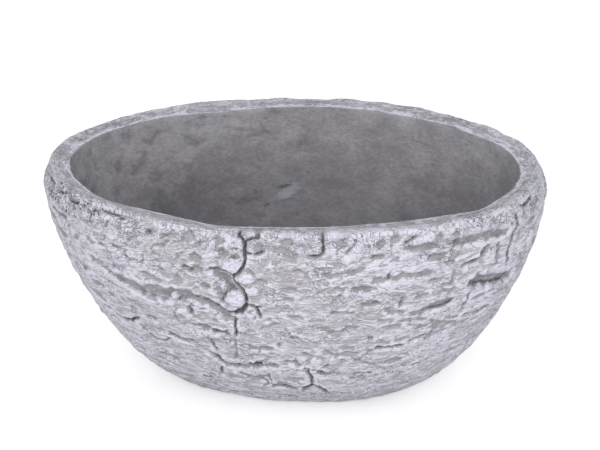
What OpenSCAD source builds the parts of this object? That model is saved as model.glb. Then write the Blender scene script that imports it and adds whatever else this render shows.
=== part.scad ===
// Oval planter bowl cast in concrete, with a bark relief round the outside, a smooth
// cavity, a drain hole with a rubber plug, and four pads under the flat foot.
// Millimetres. +Z is up, +X runs along the bowl, -Y is the front.
// The origin lies on the ground under the middle of the bowl.
//
// A bearing is an angle round the bowl: 0 is the front, 90 the right end, 180 the back.
// A drop is an angle down the wall: 0 is the widest line, 90 the edge of the foot,
// and the band that leans in over the widest line runs back from 0 to -10 at the rim.

/* [Bowl] */
// Length of the bowl over its widest line
bowl_length = 320; // [280:1:400]
// Width of the bowl over its widest line
bowl_width = 240; // [210:1:300]
// Height of the casting, from the foot to the rim's outer edge
bowl_height = 146; // [120:1:190]
// Squareness of the oval: 2 is a true ellipse
oval_power = 2; // [1.9:0.05:2.4]
// Fullness of the outer wall between its widest line and the foot
wall_power = 1.5; // [1.45:0.05:1.9]
// Depth of the three slow lobes that pull the oval out of true
lobe_depth = 1.5; // [0:0.1:3]
// Depth of the widest line below the rim
shoulder_depth = 14; // [8:1:24]

/* [Rim] */
// Thickness of the wall at the rim
rim_thickness = 14; // [10:0.5:22]
// How far the wall leans in from its widest line up to the rim
rim_lean = 4; // [0:0.5:8]
// Fall of the rim's top face from its outer edge to its inner edge
rim_fall = 2.4; // [0:0.1:4]
// Radius of the rim's worn outer edge
rim_round = 2.5; // [1:0.1:4]
// Radius of the rim's inner edge
lip_round = 1.6; // [1:0.1:4]
// Depth of the dips worn in the rim's outer edge
rim_wave = 1.2; // [0:0.1:2]
// How far the rim swells up and inwards, to the right of the front
rim_swell = 1.3; // [0:0.1:2]

/* [Foot] */
// Length of the flat foot
foot_length = 172; // [145:1:200]
// Width of the flat foot
foot_width = 110; // [96:1:140]

/* [Cavity] */
// Thickness of the floor over the foot
floor_thickness = 20; // [15:0.5:28]
// Fullness of the cavity's wall
cavity_power = 1.8; // [1.5:0.05:2]
// Length of the flat part of the cavity's floor
cavity_floor_length = 128; // [90:1:140]
// Width of the flat part of the cavity's floor
cavity_floor_width = 76; // [50:1:84]

/* [Bark] */
// Height of a flake's lip over the hollow under it
flake_height = 1.2; // [0:0.1:3]
// Number of flake layers between the widest line and the foot
flake_layers = 14; // [6:1:20]
// Width of the widest crack at the surface
crack_width = 8; // [6:0.5:14]
// Depth of the deepest crack
crack_depth = 3; // [0:0.5:6]
// Width of the widest ledge, a flat-floored groove where a flake of bark came away
ledge_width = 10; // [8:0.5:14]
// Depth of the deepest ledge
ledge_depth = 2.2; // [0:0.1:3]
// Height of the knobs that swell out of the bark
knob_height = 1.8; // [0:0.1:4]
// Radius of a plain knob
knob_r = 6.5; // [6:0.5:12]

/* [Drain] */
// Diameter of the drain hole at its narrow lower end
drain_d = 18; // [12:0.5:26]
// Widening of the drain hole's diameter up to the cavity's floor
drain_taper = 3; // [1:0.5:6]
// Running gap between the plug and the hole, and under the plug's flange
plug_gap = 0.05; // [0.05:0.05:0.5]
// Overhang of the plug's flange beyond the hole
flange_lip = 4.5; // [2:0.5:8]
// Thickness of the plug's flange
flange_thickness = 3; // [2:0.5:5]
// Bevel on the plug's tip and on the rim of its flange
plug_bevel = 1; // [0.5:0.1:1.5]

/* [Pads] */
// Diameter of a pad
pad_d = 22; // [14:1:28]
// Thickness of a pad
pad_thickness = 2; // [1:0.5:5]
// Gap between the pads and the edge of the foot
pad_margin = 8; // [2:1:12]
// Bearing of the first pad
pad_bearing = 45; // [35:1:55]

/* [Hidden] */
PAD_NODES = ["foot_pad_1", "foot_pad_2", "foot_pad_3", "foot_pad_4"];
pad_bearings = [pad_bearing, 180 - pad_bearing, 180 + pad_bearing, 360 - pad_bearing];

concrete = [0.73, 0.72, 0.75];
rubber = [0.16, 0.16, 0.17];
felt = [0.32, 0.31, 0.30];

columns = 136;       // points round the outside, and twice as many as round the cavity
wall_rows = 33;      // rows of points from the foot up to the widest line
band_rows = 3;       // rows of points from the widest line up to the rim
round_rows = 2;      // steps in each rounded edge of the rim
cavity_rows = 9;     // rows of points down the cavity
band = 10;           // drop, in degrees, that the leaning band under the rim takes up
bark_fade = 9;       // the last degrees of drop, where the bark dies out into the foot
rim_fade = 3.5;      // the first degrees of drop under the rim, where it sets in
rim_share = 0.35;    // what is left of the bark at the rim
front = -7;          // bearing where the columns stand closest
bunching = 0.35;     // how much closer they stand there than on average, as a share
swell_bearing = 28;  // middle of the rim's swelling
swell_reach = 20;    // bearing over which it falls off

foot_z = pad_thickness;
rim_z = foot_z + bowl_height;
floor_z = foot_z + floor_thickness;

// ---- The smooth bowl under the bark ----

function signed_power(x, p) = sign(x) * pow(abs(x), p);
function mix(a, b, t) = a + (b - a) * t;
function unit(v) = v / norm(v);
function outward(bearing) = [sin(bearing), -cos(bearing)];
function oval(semi, bearing) =
    [semi[0] * signed_power(sin(bearing), 2 / oval_power),
     -semi[1] * signed_power(cos(bearing), 2 / oval_power)];
function lobes(bearing) = lobe_depth * sin(3 * bearing - 39);

// A wall sweeps from an oval at z_top in to a smaller one at z_foot. It starts down
// steeply and ends level: a quarter of a superellipse with the given power.
function inset(drop, power) = 1 - pow(cos(drop), 2 / power);
function descent(drop, power) = pow(sin(drop), 2 / power);
function wall(top, foot, z_top, z_foot, power, bearing, drop) =
    let (s = descent(drop, power),
         p = oval(mix(top, foot, inset(drop, power)), bearing)
             + outward(bearing) * lobes(bearing) * (1 - 0.6 * s))
    [p[0], p[1], mix(z_top, z_foot, s)];

widest = [bowl_length, bowl_width] / 2;
foot = [foot_length, foot_width] / 2;
mouth = widest - [1, 1] * (rim_lean + rim_thickness);
cavity_floor = [cavity_floor_length, cavity_floor_width] / 2;
inner_rim_z = rim_z - rim_fall - lip_round;

// The outer wall, and over its widest line the band that leans in up to the rim.
function outer_wall(bearing, drop) =
    let (rise = max(0, -drop / band), n = outward(bearing),
         p = wall(widest, foot, rim_z - shoulder_depth, foot_z, wall_power, bearing, max(0, drop)))
    [p[0] - n[0] * rim_lean * rise * rise,
     p[1] - n[1] * rim_lean * rise * rise,
     p[2] + (shoulder_depth - rim_round) * rise];
function inner_wall(bearing, drop) =
    wall(mouth, cavity_floor, inner_rim_z, floor_z, cavity_power, bearing, drop);
function outer_normal(bearing, drop) =
    unit(cross(outer_wall(bearing + 1, drop) - outer_wall(bearing - 1, drop),
               outer_wall(bearing, max(drop - 1, -band)) - outer_wall(bearing, min(drop + 1, 90))));

// ---- Bark ----

// Cracks: depth and width as shares of the widest one's, then points of [bearing, drop].
CRACKS = [
    [1, 1, [[-6, -9], [-5, -3], [-5, 5], [-8, 11], [-8, 13], [-5, 19], [-7, 26]]], // front split
    [0.8, 0.9, [[-9, 27], [-9.5, 34], [-11, 46]]],
    [0.7, 0.8, [[-4, -7], [-2, -9]]],
    [0.8, 0.9, [[-20, 32], [-15, 32.5], [-11, 34]]],
    [0.8, 0.9, [[-18, 42], [-15, 47]]],
    [0.7, 0.9, [[2, 44], [7, 46], [14, 49]]],
    [0.9, 0.9, [[8, 47], [9.5, 56], [12, 59], [15, 61]]],
    [0.8, 0.9, [[-54, 36], [-45, 39], [-37, 35]]],
    [0.6, 0.8, [[-38, 39], [-31, 42]]],
    [0.6, 0.8, [[11, -9], [11, -3], [8, -1]]],
    [0.6, 0.8, [[31, -9], [28, -5]]],
    [0.8, 0.9, [[61, -8], [61, 0], [58, 8], [59, 14]]],
    [0.7, 0.9, [[49, 7], [46, 10], [43, 11]]],
    [0.7, 0.8, [[47, 20], [47, 27]]],
    [0.7, 0.9, [[60, 32], [48, 31]]],
    [0.7, 0.8, [[25, 38], [33, 38]]],
    [0.6, 0.8, [[21, 50], [27, 50]]],
    [0.6, 0.9, [[70, 34], [83, 35]]],
    [1, 1, [[98, -6], [101, 6], [97, 17], [100, 30]]],                  // right end
    [0.8, 0.9, [[80, 41], [92, 38], [104, 39], [116, 37]]],
    [0.8, 0.9, [[112, 12], [126, 15], [140, 13], [151, 17]]],           // back
    [1, 1, [[158, -6], [155, 2], [160, 14], [157, 26], [161, 38]]],
    [0.8, 0.9, [[126, 31], [141, 29], [157, 32], [170, 30]]],
    [0.8, 0.9, [[172, 19], [186, 16], [201, 20], [214, 18]]],
    [0.8, 0.9, [[166, 48], [184, 45], [203, 49]]],
    [0.9, 0.9, [[206, 6], [220, 4], [232, 8]]],
    [1, 1, [[229, 34], [226, 24], [231, 11], [228, -6]]],
    [0.8, 0.9, [[212, 36], [233, 34], [250, 38]]],
    [0.8, 0.9, [[242, 14], [256, 17], [268, 14], [281, 19]]],           // left end
    [0.8, 0.9, [[262, 40], [277, 37], [293, 41]]],
    [0.8, 0.9, [[284, -5], [287, 4], [283, 15]]]
];

// Ledges: depth and width as shares of the widest one's, then points of [bearing, drop].
LEDGES = [
    [0.6, 0.7, [[-49, 17], [-45, 18], [-41, 20.5]]],                    // left of the split
    [0.9, 1, [[-41, 21], [-34, 22], [-31, 23], [-20, 20.5], [-15, 23], [-10, 26]]],
    [1, 0.8, [[46, 18], [55, 20.5], [62, 23], [74, 22]]],               // notch to the right
    [0.8, 0.6, [[-15, 48], [-9, 48], [-4, 46], [1, 46]]],               // low groove
    [0.8, 0.6, [[43.5, 23], [37.5, 25], [31.5, 26]]],
    [0.6, 0.6, [[37, -3], [44, -2.5], [51, -1]]],
    [0.6, 0.6, [[33, 37.5], [40, 35.5], [44, 33.5]]],
    [0.5, 0.5, [[28, 28], [34, 28], [48, 34]]],
    [0.5, 0.5, [[12, 31], [20, 29]]],
    [0.6, 0.6, [[-66, 4], [-55, 6]]],
    [0.6, 0.7, [[76, 3], [84, 5], [93, 3]]],
    [0.7, 0.8, [[104, 20], [118, 22], [131, 19]]],
    [0.8, 0.9, [[176, 31], [190, 33], [206, 30]]],
    [0.6, 0.7, [[186, 4], [198, 2], [210, -2]]],
    [0.7, 0.8, [[246, 28], [262, 30], [276, 26]]]
];

// Knobs: bearing, drop, then radius and height as shares of a plain knob's.
KNOBS = [[-8.2, 20.6, 1, 1], [-5, 11.6, 0.8, 0.8], [-4, 15.6, 0.8, 0.6], [-8.2, -6.4, 1.2, 0.6],
         [-8.4, 6.2, 1, 0.7], [-7, 29, 0.7, 0.6], [-12.6, 17.8, 0.7, 0.5], [-21.4, 28, 0.8, 0.5],
         [-47, -4.4, 0.7, 0.6], [51, 10.6, 0.8, 0.5], [70, 12, 0.9, 0.5], [120, 24, 1.1, 0.6],
         [150, 6, 1.1, 0.8], [178, 38, 1.1, 0.6], [218, 27, 1.1, 0.7], [252, 5, 1.1, 0.6],
         [296, 27, 1.1, 0.5]];

// Flakes lie in layers. Each layer wanders up and down, and swells and dies out in lenses
// whose number and place differ from layer to layer.
function wander(bearing) =
    0.5 * sin(2 * bearing + 30) + 0.35 * sin(5 * bearing + 200) + 0.2 * sin(9 * bearing);
function lens(layer, bearing) =
    sin((4 + (3 * layer) % 5) * bearing + layer * 137) + 0.45 * sin(13 * bearing + layer * 71) + 0.35;
function flakes(bearing, drop) =
    let (t = (drop + 90) / 90 * flake_layers + wander(bearing), layer = floor(t), f = t - layer)
    min(1, max(0, lens(layer, bearing))) * min(1, 4 * f) * (1 - f * f);

function smooth(t) = let (c = min(1, max(0, t))) c * c * (3 - 2 * c);
function segment_gap(p, a, b) =
    let (ab = b - a, t = min(1, max(0, (p - a) * ab / (ab * ab)))) norm(p - a - ab * t);
function on_wall(marks) = [for (m = marks) [for (p = m[2]) outer_wall(p[0], p[1])]];
crack_lines = on_wall(CRACKS);
ledge_lines = on_wall(LEDGES);
// How far the deepest mark that passes a point of the wall presses it in, as a share. The
// mark's floor is level over a share of its half width.
function pressed(p, marks, lines, width, level) =
    max([for (i = [0:len(marks) - 1])
        let (line = lines[i], half = width / 2 * marks[i][1],
             gap = min([for (k = [1:len(line) - 1]) segment_gap(p, line[k - 1], line[k])]))
        marks[i][0] * smooth((1 - gap / half) / (1 - level))]);
knob_tops = [for (k = KNOBS) outer_wall(k[0], k[1])];
function knobs(p) =
    max([for (i = [0:len(KNOBS) - 1])
        KNOBS[i][3] * smooth(2 * (1.1 - norm(p - knob_tops[i]) / (knob_r * KNOBS[i][2])))]);

function relief(bearing, drop) =
    let (p = outer_wall(bearing, drop), knob = knobs(p),
         crack = crack_depth * pressed(p, CRACKS, crack_lines, crack_width, 0),
         ledge = ledge_depth * pressed(p, LEDGES, ledge_lines, ledge_width, 0.4) * (1 - knob))
    (flake_height * (flakes(bearing, drop) - 0.25) + knob_height * knob - max(crack, ledge))
    * min(1, (90 - drop) / bark_fade)
    * mix(rim_share, 1, smooth((drop + band) / rim_fade));
function bark(bearing, drop) =
    outer_wall(bearing, drop) + outer_normal(bearing, drop) * relief(bearing, drop);

// ---- Rows of points, from the foot up the outside, over the rim and down the cavity ----

// Columns bunch towards the front, where the bark has the most to show.
function bearing_of(i, count) =
    let (turn = 360 * i / count - front) front + turn - bunching * sin(turn) * 180 / PI;
// Drops bunch towards the middle of the wall, where a degree covers the most wall.
function wall_drop(t) = 90 * t + 3.5 * sin(360 * t);

function bark_row(drop) = [for (i = [0:columns - 1]) bark(bearing_of(i, columns), drop)];
function rim_dip(bearing) =
    rim_wave * (0.5 * sin(7 * bearing + 20) + 0.3 * sin(17 * bearing + 70) + 0.2 * sin(29 * bearing));
function swelling(bearing) =
    let (turn = (bearing - swell_bearing) / swell_reach) rim_swell * exp(-turn * turn);
// A step of the rim's outer edge, a quarter turn in from the bark at angle a.
function outer_edge(a) =
    [for (i = [0:columns - 1])
        let (b = bearing_of(i, columns), n = outward(b), p = bark(b, -band), r = rim_round * (1 - cos(a)))
        [p[0] - n[0] * r, p[1] - n[1] * r, p[2] + (rim_round + rim_dip(b) + 0.6 * swelling(b)) * sin(a)]];
// A step of the rim's inner edge, a quarter turn out from the cavity's wall at angle a.
function inner_edge(a, count) =
    [for (i = [0:count - 1])
        let (b = bearing_of(i, count), n = outward(b), p = inner_wall(b, 0),
             r = lip_round * (1 - cos(a)) - swelling(b) * (1 + sin(a)) / 2)
        [p[0] + n[0] * r, p[1] + n[1] * r, p[2] + (lip_round + swelling(b)) * sin(a)]];
function cavity_row(drop) =
    [for (i = [0:columns / 2 - 1]) inner_wall(bearing_of(i, columns / 2), drop)];

rows = concat([for (j = [wall_rows:-1:1]) bark_row(wall_drop(j / wall_rows))],
              [for (j = [0:band_rows]) bark_row(-band * j / band_rows)],
              [for (k = [1:round_rows]) outer_edge(90 * k / round_rows)],
              [inner_edge(90, columns)],
              [for (k = [1:round_rows]) inner_edge(90 * (1 - k / round_rows), columns / 2)],
              [for (j = [1:cavity_rows]) cavity_row(90 * j / cavity_rows)]);

// Triangles between a row of n points that starts at index a and the next row. The next
// row has as many points, or half as many.
function strip(a, n, halved) =
    halved ? [for (i = [0:2:n - 1])
                 let (m = n / 2, p = a + n + i / 2, q = a + n + (i / 2 + 1) % m, r = a + (i + 2) % n)
                 each [[a + i, p, a + i + 1], [a + i + 1, p, q], [a + i + 1, q, r]]]
           : [for (i = [0:n - 1])
                 let (k = (i + 1) % n)
                 each [[a + i, a + n + i, a + n + k], [a + i, a + n + k, a + k]]];
function starts(stack, j = 0, at = 0) =
    j == len(stack) ? [] : concat([at], starts(stack, j + 1, at + len(stack[j])));

// Skin over a stack of closed rows, with a flat cap at each end.
module skin(stack) {
    start = starts(stack);
    last = len(stack) - 1;
    sides = [for (j = [0:last - 1])
        each strip(start[j], len(stack[j]), len(stack[j + 1]) < len(stack[j]))];
    polyhedron(points = [for (row = stack) each row],
               faces = concat([[for (i = [0:len(stack[0]) - 1]) i]], sides,
                              [[for (i = [len(stack[last]) - 1:-1:0]) start[last] + i]]));
}

// ---- Pieces ----

module bowl_body() {
    color(concrete)
        difference() {
            skin(rows);
            translate([0, 0, foot_z])
                cylinder(h = floor_thickness, d1 = drain_d, d2 = drain_d + drain_taper, $fn = 64);
        }
}

// Half section of the plug: a flange on the cavity's floor, over a tapered shank.
module plug_section() {
    top_r = (drain_d + drain_taper) / 2 - plug_gap;
    tip_r = drain_d / 2 - plug_gap;
    flange_r = (drain_d + drain_taper) / 2 + flange_lip;
    seat_z = floor_z + plug_gap;
    head_z = seat_z + flange_thickness;
    polygon([[0, foot_z], [tip_r - plug_bevel, foot_z], [tip_r, foot_z + plug_bevel], [top_r, seat_z],
             [flange_r, seat_z], [flange_r, head_z - plug_bevel], [flange_r - plug_bevel, head_z],
             [0, head_z]]);
}

module drain_plug() {
    color(rubber)
        rotate_extrude($fn = 64)
            plug_section();
}

module foot_pad(bearing) {
    centre = oval(foot - [1, 1] * (pad_margin + pad_d / 2), bearing);
    color(felt)
        translate([centre[0], centre[1], 0])
            cylinder(h = pad_thickness, d = pad_d, $fn = 48);
}

bowl_body();
drain_plug();
for (i = [0:3])
    foot_pad(pad_bearings[i]);
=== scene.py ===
# %% [markdown]
# # An oval planter bowl, cast in concrete with a bark relief
# The real bowl is poured in one piece into a mould that was taken from tree bark. When it has
# set, a nearly dry brush of white paint is dragged over the outside, so that the high places
# turn white and the hollows stay grey. Inside it is bare, smooth concrete.
# The measured frame comes first: everything made here sits round those solids and moves with
# their bodies.

# %% Load the frame
import math

import bpy
import numpy as np
from mathutils import Matrix, Vector


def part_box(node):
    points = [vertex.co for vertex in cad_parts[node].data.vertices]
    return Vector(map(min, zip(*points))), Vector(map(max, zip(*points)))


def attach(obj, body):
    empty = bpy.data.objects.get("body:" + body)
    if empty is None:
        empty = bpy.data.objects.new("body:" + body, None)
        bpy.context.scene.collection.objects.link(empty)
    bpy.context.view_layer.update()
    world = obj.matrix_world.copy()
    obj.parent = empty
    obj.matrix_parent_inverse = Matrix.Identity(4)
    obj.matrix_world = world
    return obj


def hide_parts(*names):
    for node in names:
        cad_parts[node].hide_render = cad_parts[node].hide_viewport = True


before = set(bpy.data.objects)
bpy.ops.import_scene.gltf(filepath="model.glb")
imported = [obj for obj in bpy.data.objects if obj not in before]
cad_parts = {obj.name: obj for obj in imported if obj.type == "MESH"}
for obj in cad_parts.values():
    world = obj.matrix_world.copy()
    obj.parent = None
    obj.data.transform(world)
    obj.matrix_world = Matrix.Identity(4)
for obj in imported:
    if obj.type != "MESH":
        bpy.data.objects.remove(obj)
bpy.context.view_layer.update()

MM = 0.001

# %% [markdown]
# ## Camera
# The bowl was photographed from just above its rim with a long lens, a little from its right.
# A camera can be placed by eye, or from the ellipse of a known rim. Here the place came from
# the two ellipses of the rim, so it is written as a direction, a distance and a target.

# %% Camera
LENS, SENSOR = 85.0, 36.0                      # millimetres, as on a real camera
AZIMUTH, ELEVATION, ROLL = 7.2, 24.35, -0.4    # degrees
DISTANCE = 918.6 * MM
TARGET = np.array([2.8, 0.4, 100.8]) * MM


def look_from(azimuth, elevation):
    """Unit vector from the target back to the camera: a point on a sphere, by two angles."""
    a, e = math.radians(azimuth), math.radians(elevation)
    return Vector((math.sin(a) * math.cos(e), -math.cos(a) * math.cos(e), math.sin(e)))


def placed(name, data):
    """A new object in the scene, at the origin, unturned and unscaled."""
    made = bpy.data.objects.new(name, data)
    bpy.context.scene.collection.objects.link(made)
    return made


back = look_from(AZIMUTH, ELEVATION)
camera = placed("camera", bpy.data.cameras.new("camera"))
camera.data.lens, camera.data.sensor_width = LENS, SENSOR
camera.matrix_world = (Matrix.Translation(Vector(TARGET) + back * DISTANCE)
                       @ (-back).to_track_quat("-Z", "Y").to_matrix().to_4x4()
                       @ Matrix.Rotation(math.radians(ROLL), 4, "Z"))
bpy.context.scene.camera = camera
print("camera at", [round(value, 3) for value in camera.location])

# %% [markdown]
# ## Light and floor
# The photograph is a catalogue picture: soft light from all round, a little more from above
# and in front, and a white background. One wide lamp and an even sky give that. The sky is
# white to the camera whatever its strength, which keeps the light on the bowl at a plain level.
# Sky, floor and every finish are trees of nodes, so a few small helpers for nodes come first.

# %% Node helpers
def feed(tree, socket, value):
    """Links a socket to an input, or sets the input to a plain value."""
    if isinstance(value, bpy.types.NodeSocket):
        tree.links.new(value, socket)
    else:
        socket.default_value = value


def node(tree, kind, **settings):
    """One shader node. Each setting is one of its own properties, or a link or a value for the
    input of that name."""
    made = tree.nodes.new(kind)
    for name, value in settings.items():
        if hasattr(made, name):
            setattr(made, name, value)
        else:
            feed(tree, made.inputs[name.replace("_", " ")], value)
    return made


def calc(tree, operation, *values):
    """A Math node: each value is a number or a socket. Returns its output."""
    made = node(tree, "ShaderNodeMath", operation=operation)
    for socket, value in zip(made.inputs, values):
        feed(tree, socket, value)
    return made.outputs[0]


def new_material(name):
    """A material, with its node tree and its shader."""
    made = bpy.data.materials.new(name)
    made.use_nodes = True
    return made, made.node_tree, made.node_tree.nodes["Principled BSDF"]


def background_rays(tree):
    """1 for a ray from the camera, or from a mirror or a glass that it looks at, else 0."""
    path = node(tree, "ShaderNodeLightPath")
    mirrored = calc(tree, "MAXIMUM", path.outputs["Is Glossy Ray"], path.outputs["Is Transmission Ray"])
    return calc(tree, "MAXIMUM", path.outputs["Is Camera Ray"], mirrored)


print("helpers:", ", ".join(f.__name__ for f in (feed, node, calc, new_material, background_rays)))

# %% Sky and lamp
SKY, LAMP_POWER, LAMP_SIZE = 0.90, 8.2, 0.9      # strength of the sky, watts, metres
LAMP_AT = Vector((0.12, -1.30, 0.62))            # in front and above
bpy.context.scene.view_settings.view_transform = "Standard"

world = bpy.data.worlds.new("studio")
bpy.context.scene.world = world
world.use_nodes = True
sky = world.node_tree
sky.nodes.clear()
strength = node(sky, "ShaderNodeMapRange", Value=background_rays(sky), To_Min=SKY, To_Max=1.0)
background = node(sky, "ShaderNodeBackground", Strength=strength.outputs["Result"])
node(sky, "ShaderNodeOutputWorld", Surface=background.outputs[0])

lamp = placed("soft_box", bpy.data.lights.new("soft_box", "AREA"))
lamp.data.shape, lamp.data.size, lamp.data.energy = "DISK", LAMP_SIZE, LAMP_POWER
lamp.location = LAMP_AT
lamp.rotation_euler = (Vector(TARGET) - LAMP_AT).to_track_quat("-Z", "Y").to_euler()
lamp.visible_camera = False
print("sky", SKY, "lamp", LAMP_POWER, "W")

# %% Floor
FLOOR_HALF, FLOOR_GLOW = 30.0, 0.42      # metres, and the glow that lifts the floor to white
PAPER_WHITE, PAPER_ROUGHNESS = (0.88, 0.88, 0.88, 1), 0.95

floor_mesh = bpy.data.meshes.new("floor")
floor_mesh.from_pydata([(-FLOOR_HALF, -FLOOR_HALF, 0), (FLOOR_HALF, -FLOOR_HALF, 0),
                        (FLOOR_HALF, FLOOR_HALF, 0), (-FLOOR_HALF, FLOOR_HALF, 0)], [], [(0, 1, 2, 3)])
floor = placed("floor", floor_mesh)
paper, tree, shader = new_material("white_paper")
shader.inputs["Base Color"].default_value = PAPER_WHITE
shader.inputs["Roughness"].default_value = PAPER_ROUGHNESS
glow = node(tree, "ShaderNodeEmission", Strength=FLOOR_GLOW)
none = node(tree, "ShaderNodeEmission", Strength=0.0)
chosen, lit = node(tree, "ShaderNodeMixShader"), node(tree, "ShaderNodeAddShader")
for socket, value in ((chosen.inputs[0], background_rays(tree)), (chosen.inputs[1], none.outputs[0]),
                      (chosen.inputs[2], glow.outputs[0]), (lit.inputs[0], chosen.outputs[0]),
                      (lit.inputs[1], shader.outputs[0]),
                      (tree.nodes["Material Output"].inputs["Surface"], lit.outputs[0])):
    feed(tree, socket, value)
floor_mesh.materials.append(paper)
print("floor", 2 * FLOOR_HALF, "m across")

# %% [markdown]
# ## The smooth bowl
# Under its bark the bowl is a simple form: an oval in plan, and in section a wall that starts
# down steeply at its widest line and sweeps in until it is level at the foot. Over the widest
# line a short band leans in to the rim. It could be a lofted or subdivided cage. As a function
# of two angles it is exact, and the bark can be laid on it as a height over a known surface.
# A bearing runs round the bowl: 0 is the front, 90 the right end. A drop runs down the wall:
# -10 is the rim, 0 the widest line and 90 the edge of the foot.

# %% Sizes
foot_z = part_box("bowl_body")[0].z
WIDEST = np.array([160.0, 120.0]) * MM          # half length and half width over the widest line
FOOT = np.array([86.0, 55.0]) * MM              # half length and half width of the flat foot
HEIGHT, SHOULDER, RIM_LEAN = 146 * MM, 14 * MM, 4 * MM
WALL_POWER, BAND = 1.5, 10.0                   # the power in `wall`, and degrees over the widest line
LOBE_DEPTH, LOBE_AHEAD, LOBE_FADE = 1.5 * MM, 39.0, 0.6
RIM_THICKNESS, RIM_FALL, RIM_ROUND, LIP_ROUND = 14 * MM, 2.4 * MM, 2.5 * MM, 1.6 * MM
MOUTH = WIDEST - RIM_LEAN - RIM_THICKNESS
CAVITY_FLOOR, CAVITY_POWER, FLOOR_THICKNESS = np.array([64.0, 38.0]) * MM, 1.8, 20 * MM
DRAIN_FOOT_R, DRAIN_FLOOR_R = 9 * MM, 10.5 * MM
rim_z = foot_z + HEIGHT
cavity_z = foot_z + FLOOR_THICKNESS
print("rim at", round(rim_z, 4), "cavity floor at", round(cavity_z, 4))


# %% Wall surfaces
def lobes(bearing):
    """Three slow lobes that pull the oval a little out of true, as outward distance."""
    return LOBE_DEPTH * np.sin(np.radians(3 * bearing - LOBE_AHEAD))


def wall(top, foot, z_top, z_foot, power, bearing, drop):
    """Point of a wall: an ellipse at each level, whose half sizes and height follow a quarter
    of a superellipse |in|^power + |down|^power = 1, from the top oval in to the foot."""
    bearing, drop = np.broadcast_arrays(bearing, drop)
    angle, turn = np.radians(np.clip(drop, 0, 90)), np.radians(bearing)
    inset = 1 - np.clip(np.cos(angle), 0, 1) ** (2 / power)
    descent = np.sin(angle) ** (2 / power)
    swell = lobes(bearing) * (1 - LOBE_FADE * descent)
    x = (top[0] + (foot[0] - top[0]) * inset + swell) * np.sin(turn)
    y = -(top[1] + (foot[1] - top[1]) * inset + swell) * np.cos(turn)
    return np.stack([x, y, z_top + (z_foot - z_top) * descent], -1)


def outer_wall(bearing, drop):
    """The wall under the bark. Over the widest line it rises straight and leans in by the
    square of the rise."""
    rise = np.clip(-drop / BAND, 0, 1)
    turn = np.radians(bearing)
    lean = RIM_LEAN * rise ** 2
    shift = np.stack([-lean * np.sin(turn), lean * np.cos(turn), (SHOULDER - RIM_ROUND) * rise], -1)
    return wall(WIDEST, FOOT, rim_z - SHOULDER, foot_z, WALL_POWER, bearing, drop) + shift


def inner_wall(bearing, drop):
    """The cavity's smooth wall, from under the rim's rounded lip down to the floor."""
    top = rim_z - RIM_FALL - LIP_ROUND
    return wall(MOUTH, CAVITY_FLOOR, top, cavity_z, CAVITY_POWER, bearing, drop)


print("front of the widest line", np.round(outer_wall(0, 0), 4), "foot", np.round(outer_wall(0, 90), 4))


# %% Spacing of rows and columns
def even_drops(surface, start, count):
    """Drops from start to 90 that are evenly spaced along the wall, and the length along the
    wall at each. The arc length is summed on a fine profile, half way between front and end,
    and read backwards."""
    fine = np.linspace(start, 90, 2000)
    profile = surface(np.full_like(fine, 45.0), fine)
    length = np.concatenate([[0], np.cumsum(np.linalg.norm(np.diff(profile, axis=0), axis=1))])
    even = np.linspace(0, length[-1], count)
    return np.interp(even, length, fine), even


COLUMNS, WALL_ROWS = 560, 142
FRONT_SHARE = 0.25                                      # columns stand closer at the front
SPLIT_AT, SPLIT_WIDTH, SPLIT_SHARE = -6.5, 5.0, 1.2     # and closer still along the front split


def bearings(count):
    """Bearings of the columns of a row. Their spacing follows one over a density, which is
    summed round the bowl and read backwards."""
    fine = np.linspace(-180, 180, 7201)
    at_split = np.exp(-((fine - SPLIT_AT) / SPLIT_WIDTH) ** 2)
    density = 1 + FRONT_SHARE * np.cos(np.radians(fine)) + SPLIT_SHARE * at_split
    total = np.concatenate([[0], np.cumsum((density[1:] + density[:-1]) / 2)])
    return np.interp(np.arange(count) / count * total[-1], total, fine)


print("columns are", np.round(np.percentile(np.diff(bearings(COLUMNS)), [0, 100]), 2), "degrees apart")

# %% Wall grid
drops, slant = even_drops(outer_wall, -BAND, WALL_ROWS)
bearing_grid, drop_grid = np.meshgrid(bearings(COLUMNS), drops)
smooth_wall = outer_wall(bearing_grid, drop_grid)
around = np.roll(smooth_wall, -1, 1) - np.roll(smooth_wall, 1, 1)
down = np.gradient(smooth_wall, axis=0)
wall_normal = np.cross(down, around)
wall_normal /= np.linalg.norm(wall_normal, axis=-1, keepdims=True)
# Bark coordinates: plan position, and length down the wall in place of height.
bark_at = np.stack([smooth_wall[..., 0], smooth_wall[..., 1],
                    np.broadcast_to(slant[:, None], drop_grid.shape)], -1)
print("wall grid", smooth_wall.shape, "row step", round(slant[1] / MM, 2), "mm")

# %% [markdown]
# ## Noise to carve with
# Bark is rough at every size, from slabs as long as a finger down to grains. Blender's texture
# nodes make noise in a shader, but here the same heights have to shape the mesh and to say
# where the paint catches. So the noise is worked out in numpy, from seeded tables, and gives
# the same bark on each run.

# %% Noise
TABLE = 256           # cells before the noise repeats, a power of two
NOISE_GAIN = 1.6      # brings the heights to about -1 to 1


def hash_tables(seed):
    """A shuffled table of numbers, and a random unit vector and point for each of them."""
    random = np.random.default_rng(seed)
    order = np.tile(random.permutation(TABLE), 3)
    vectors = random.normal(size=(TABLE, 3))
    return order, vectors / np.linalg.norm(vectors, axis=1, keepdims=True), random.random((TABLE, 3))


def hashed(order, cell):
    """Number of the table that belongs to each whole-number cell."""
    x, y, z = (cell[..., axis] & (TABLE - 1) for axis in range(3))
    return order[order[order[x] + y] + z]


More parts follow.
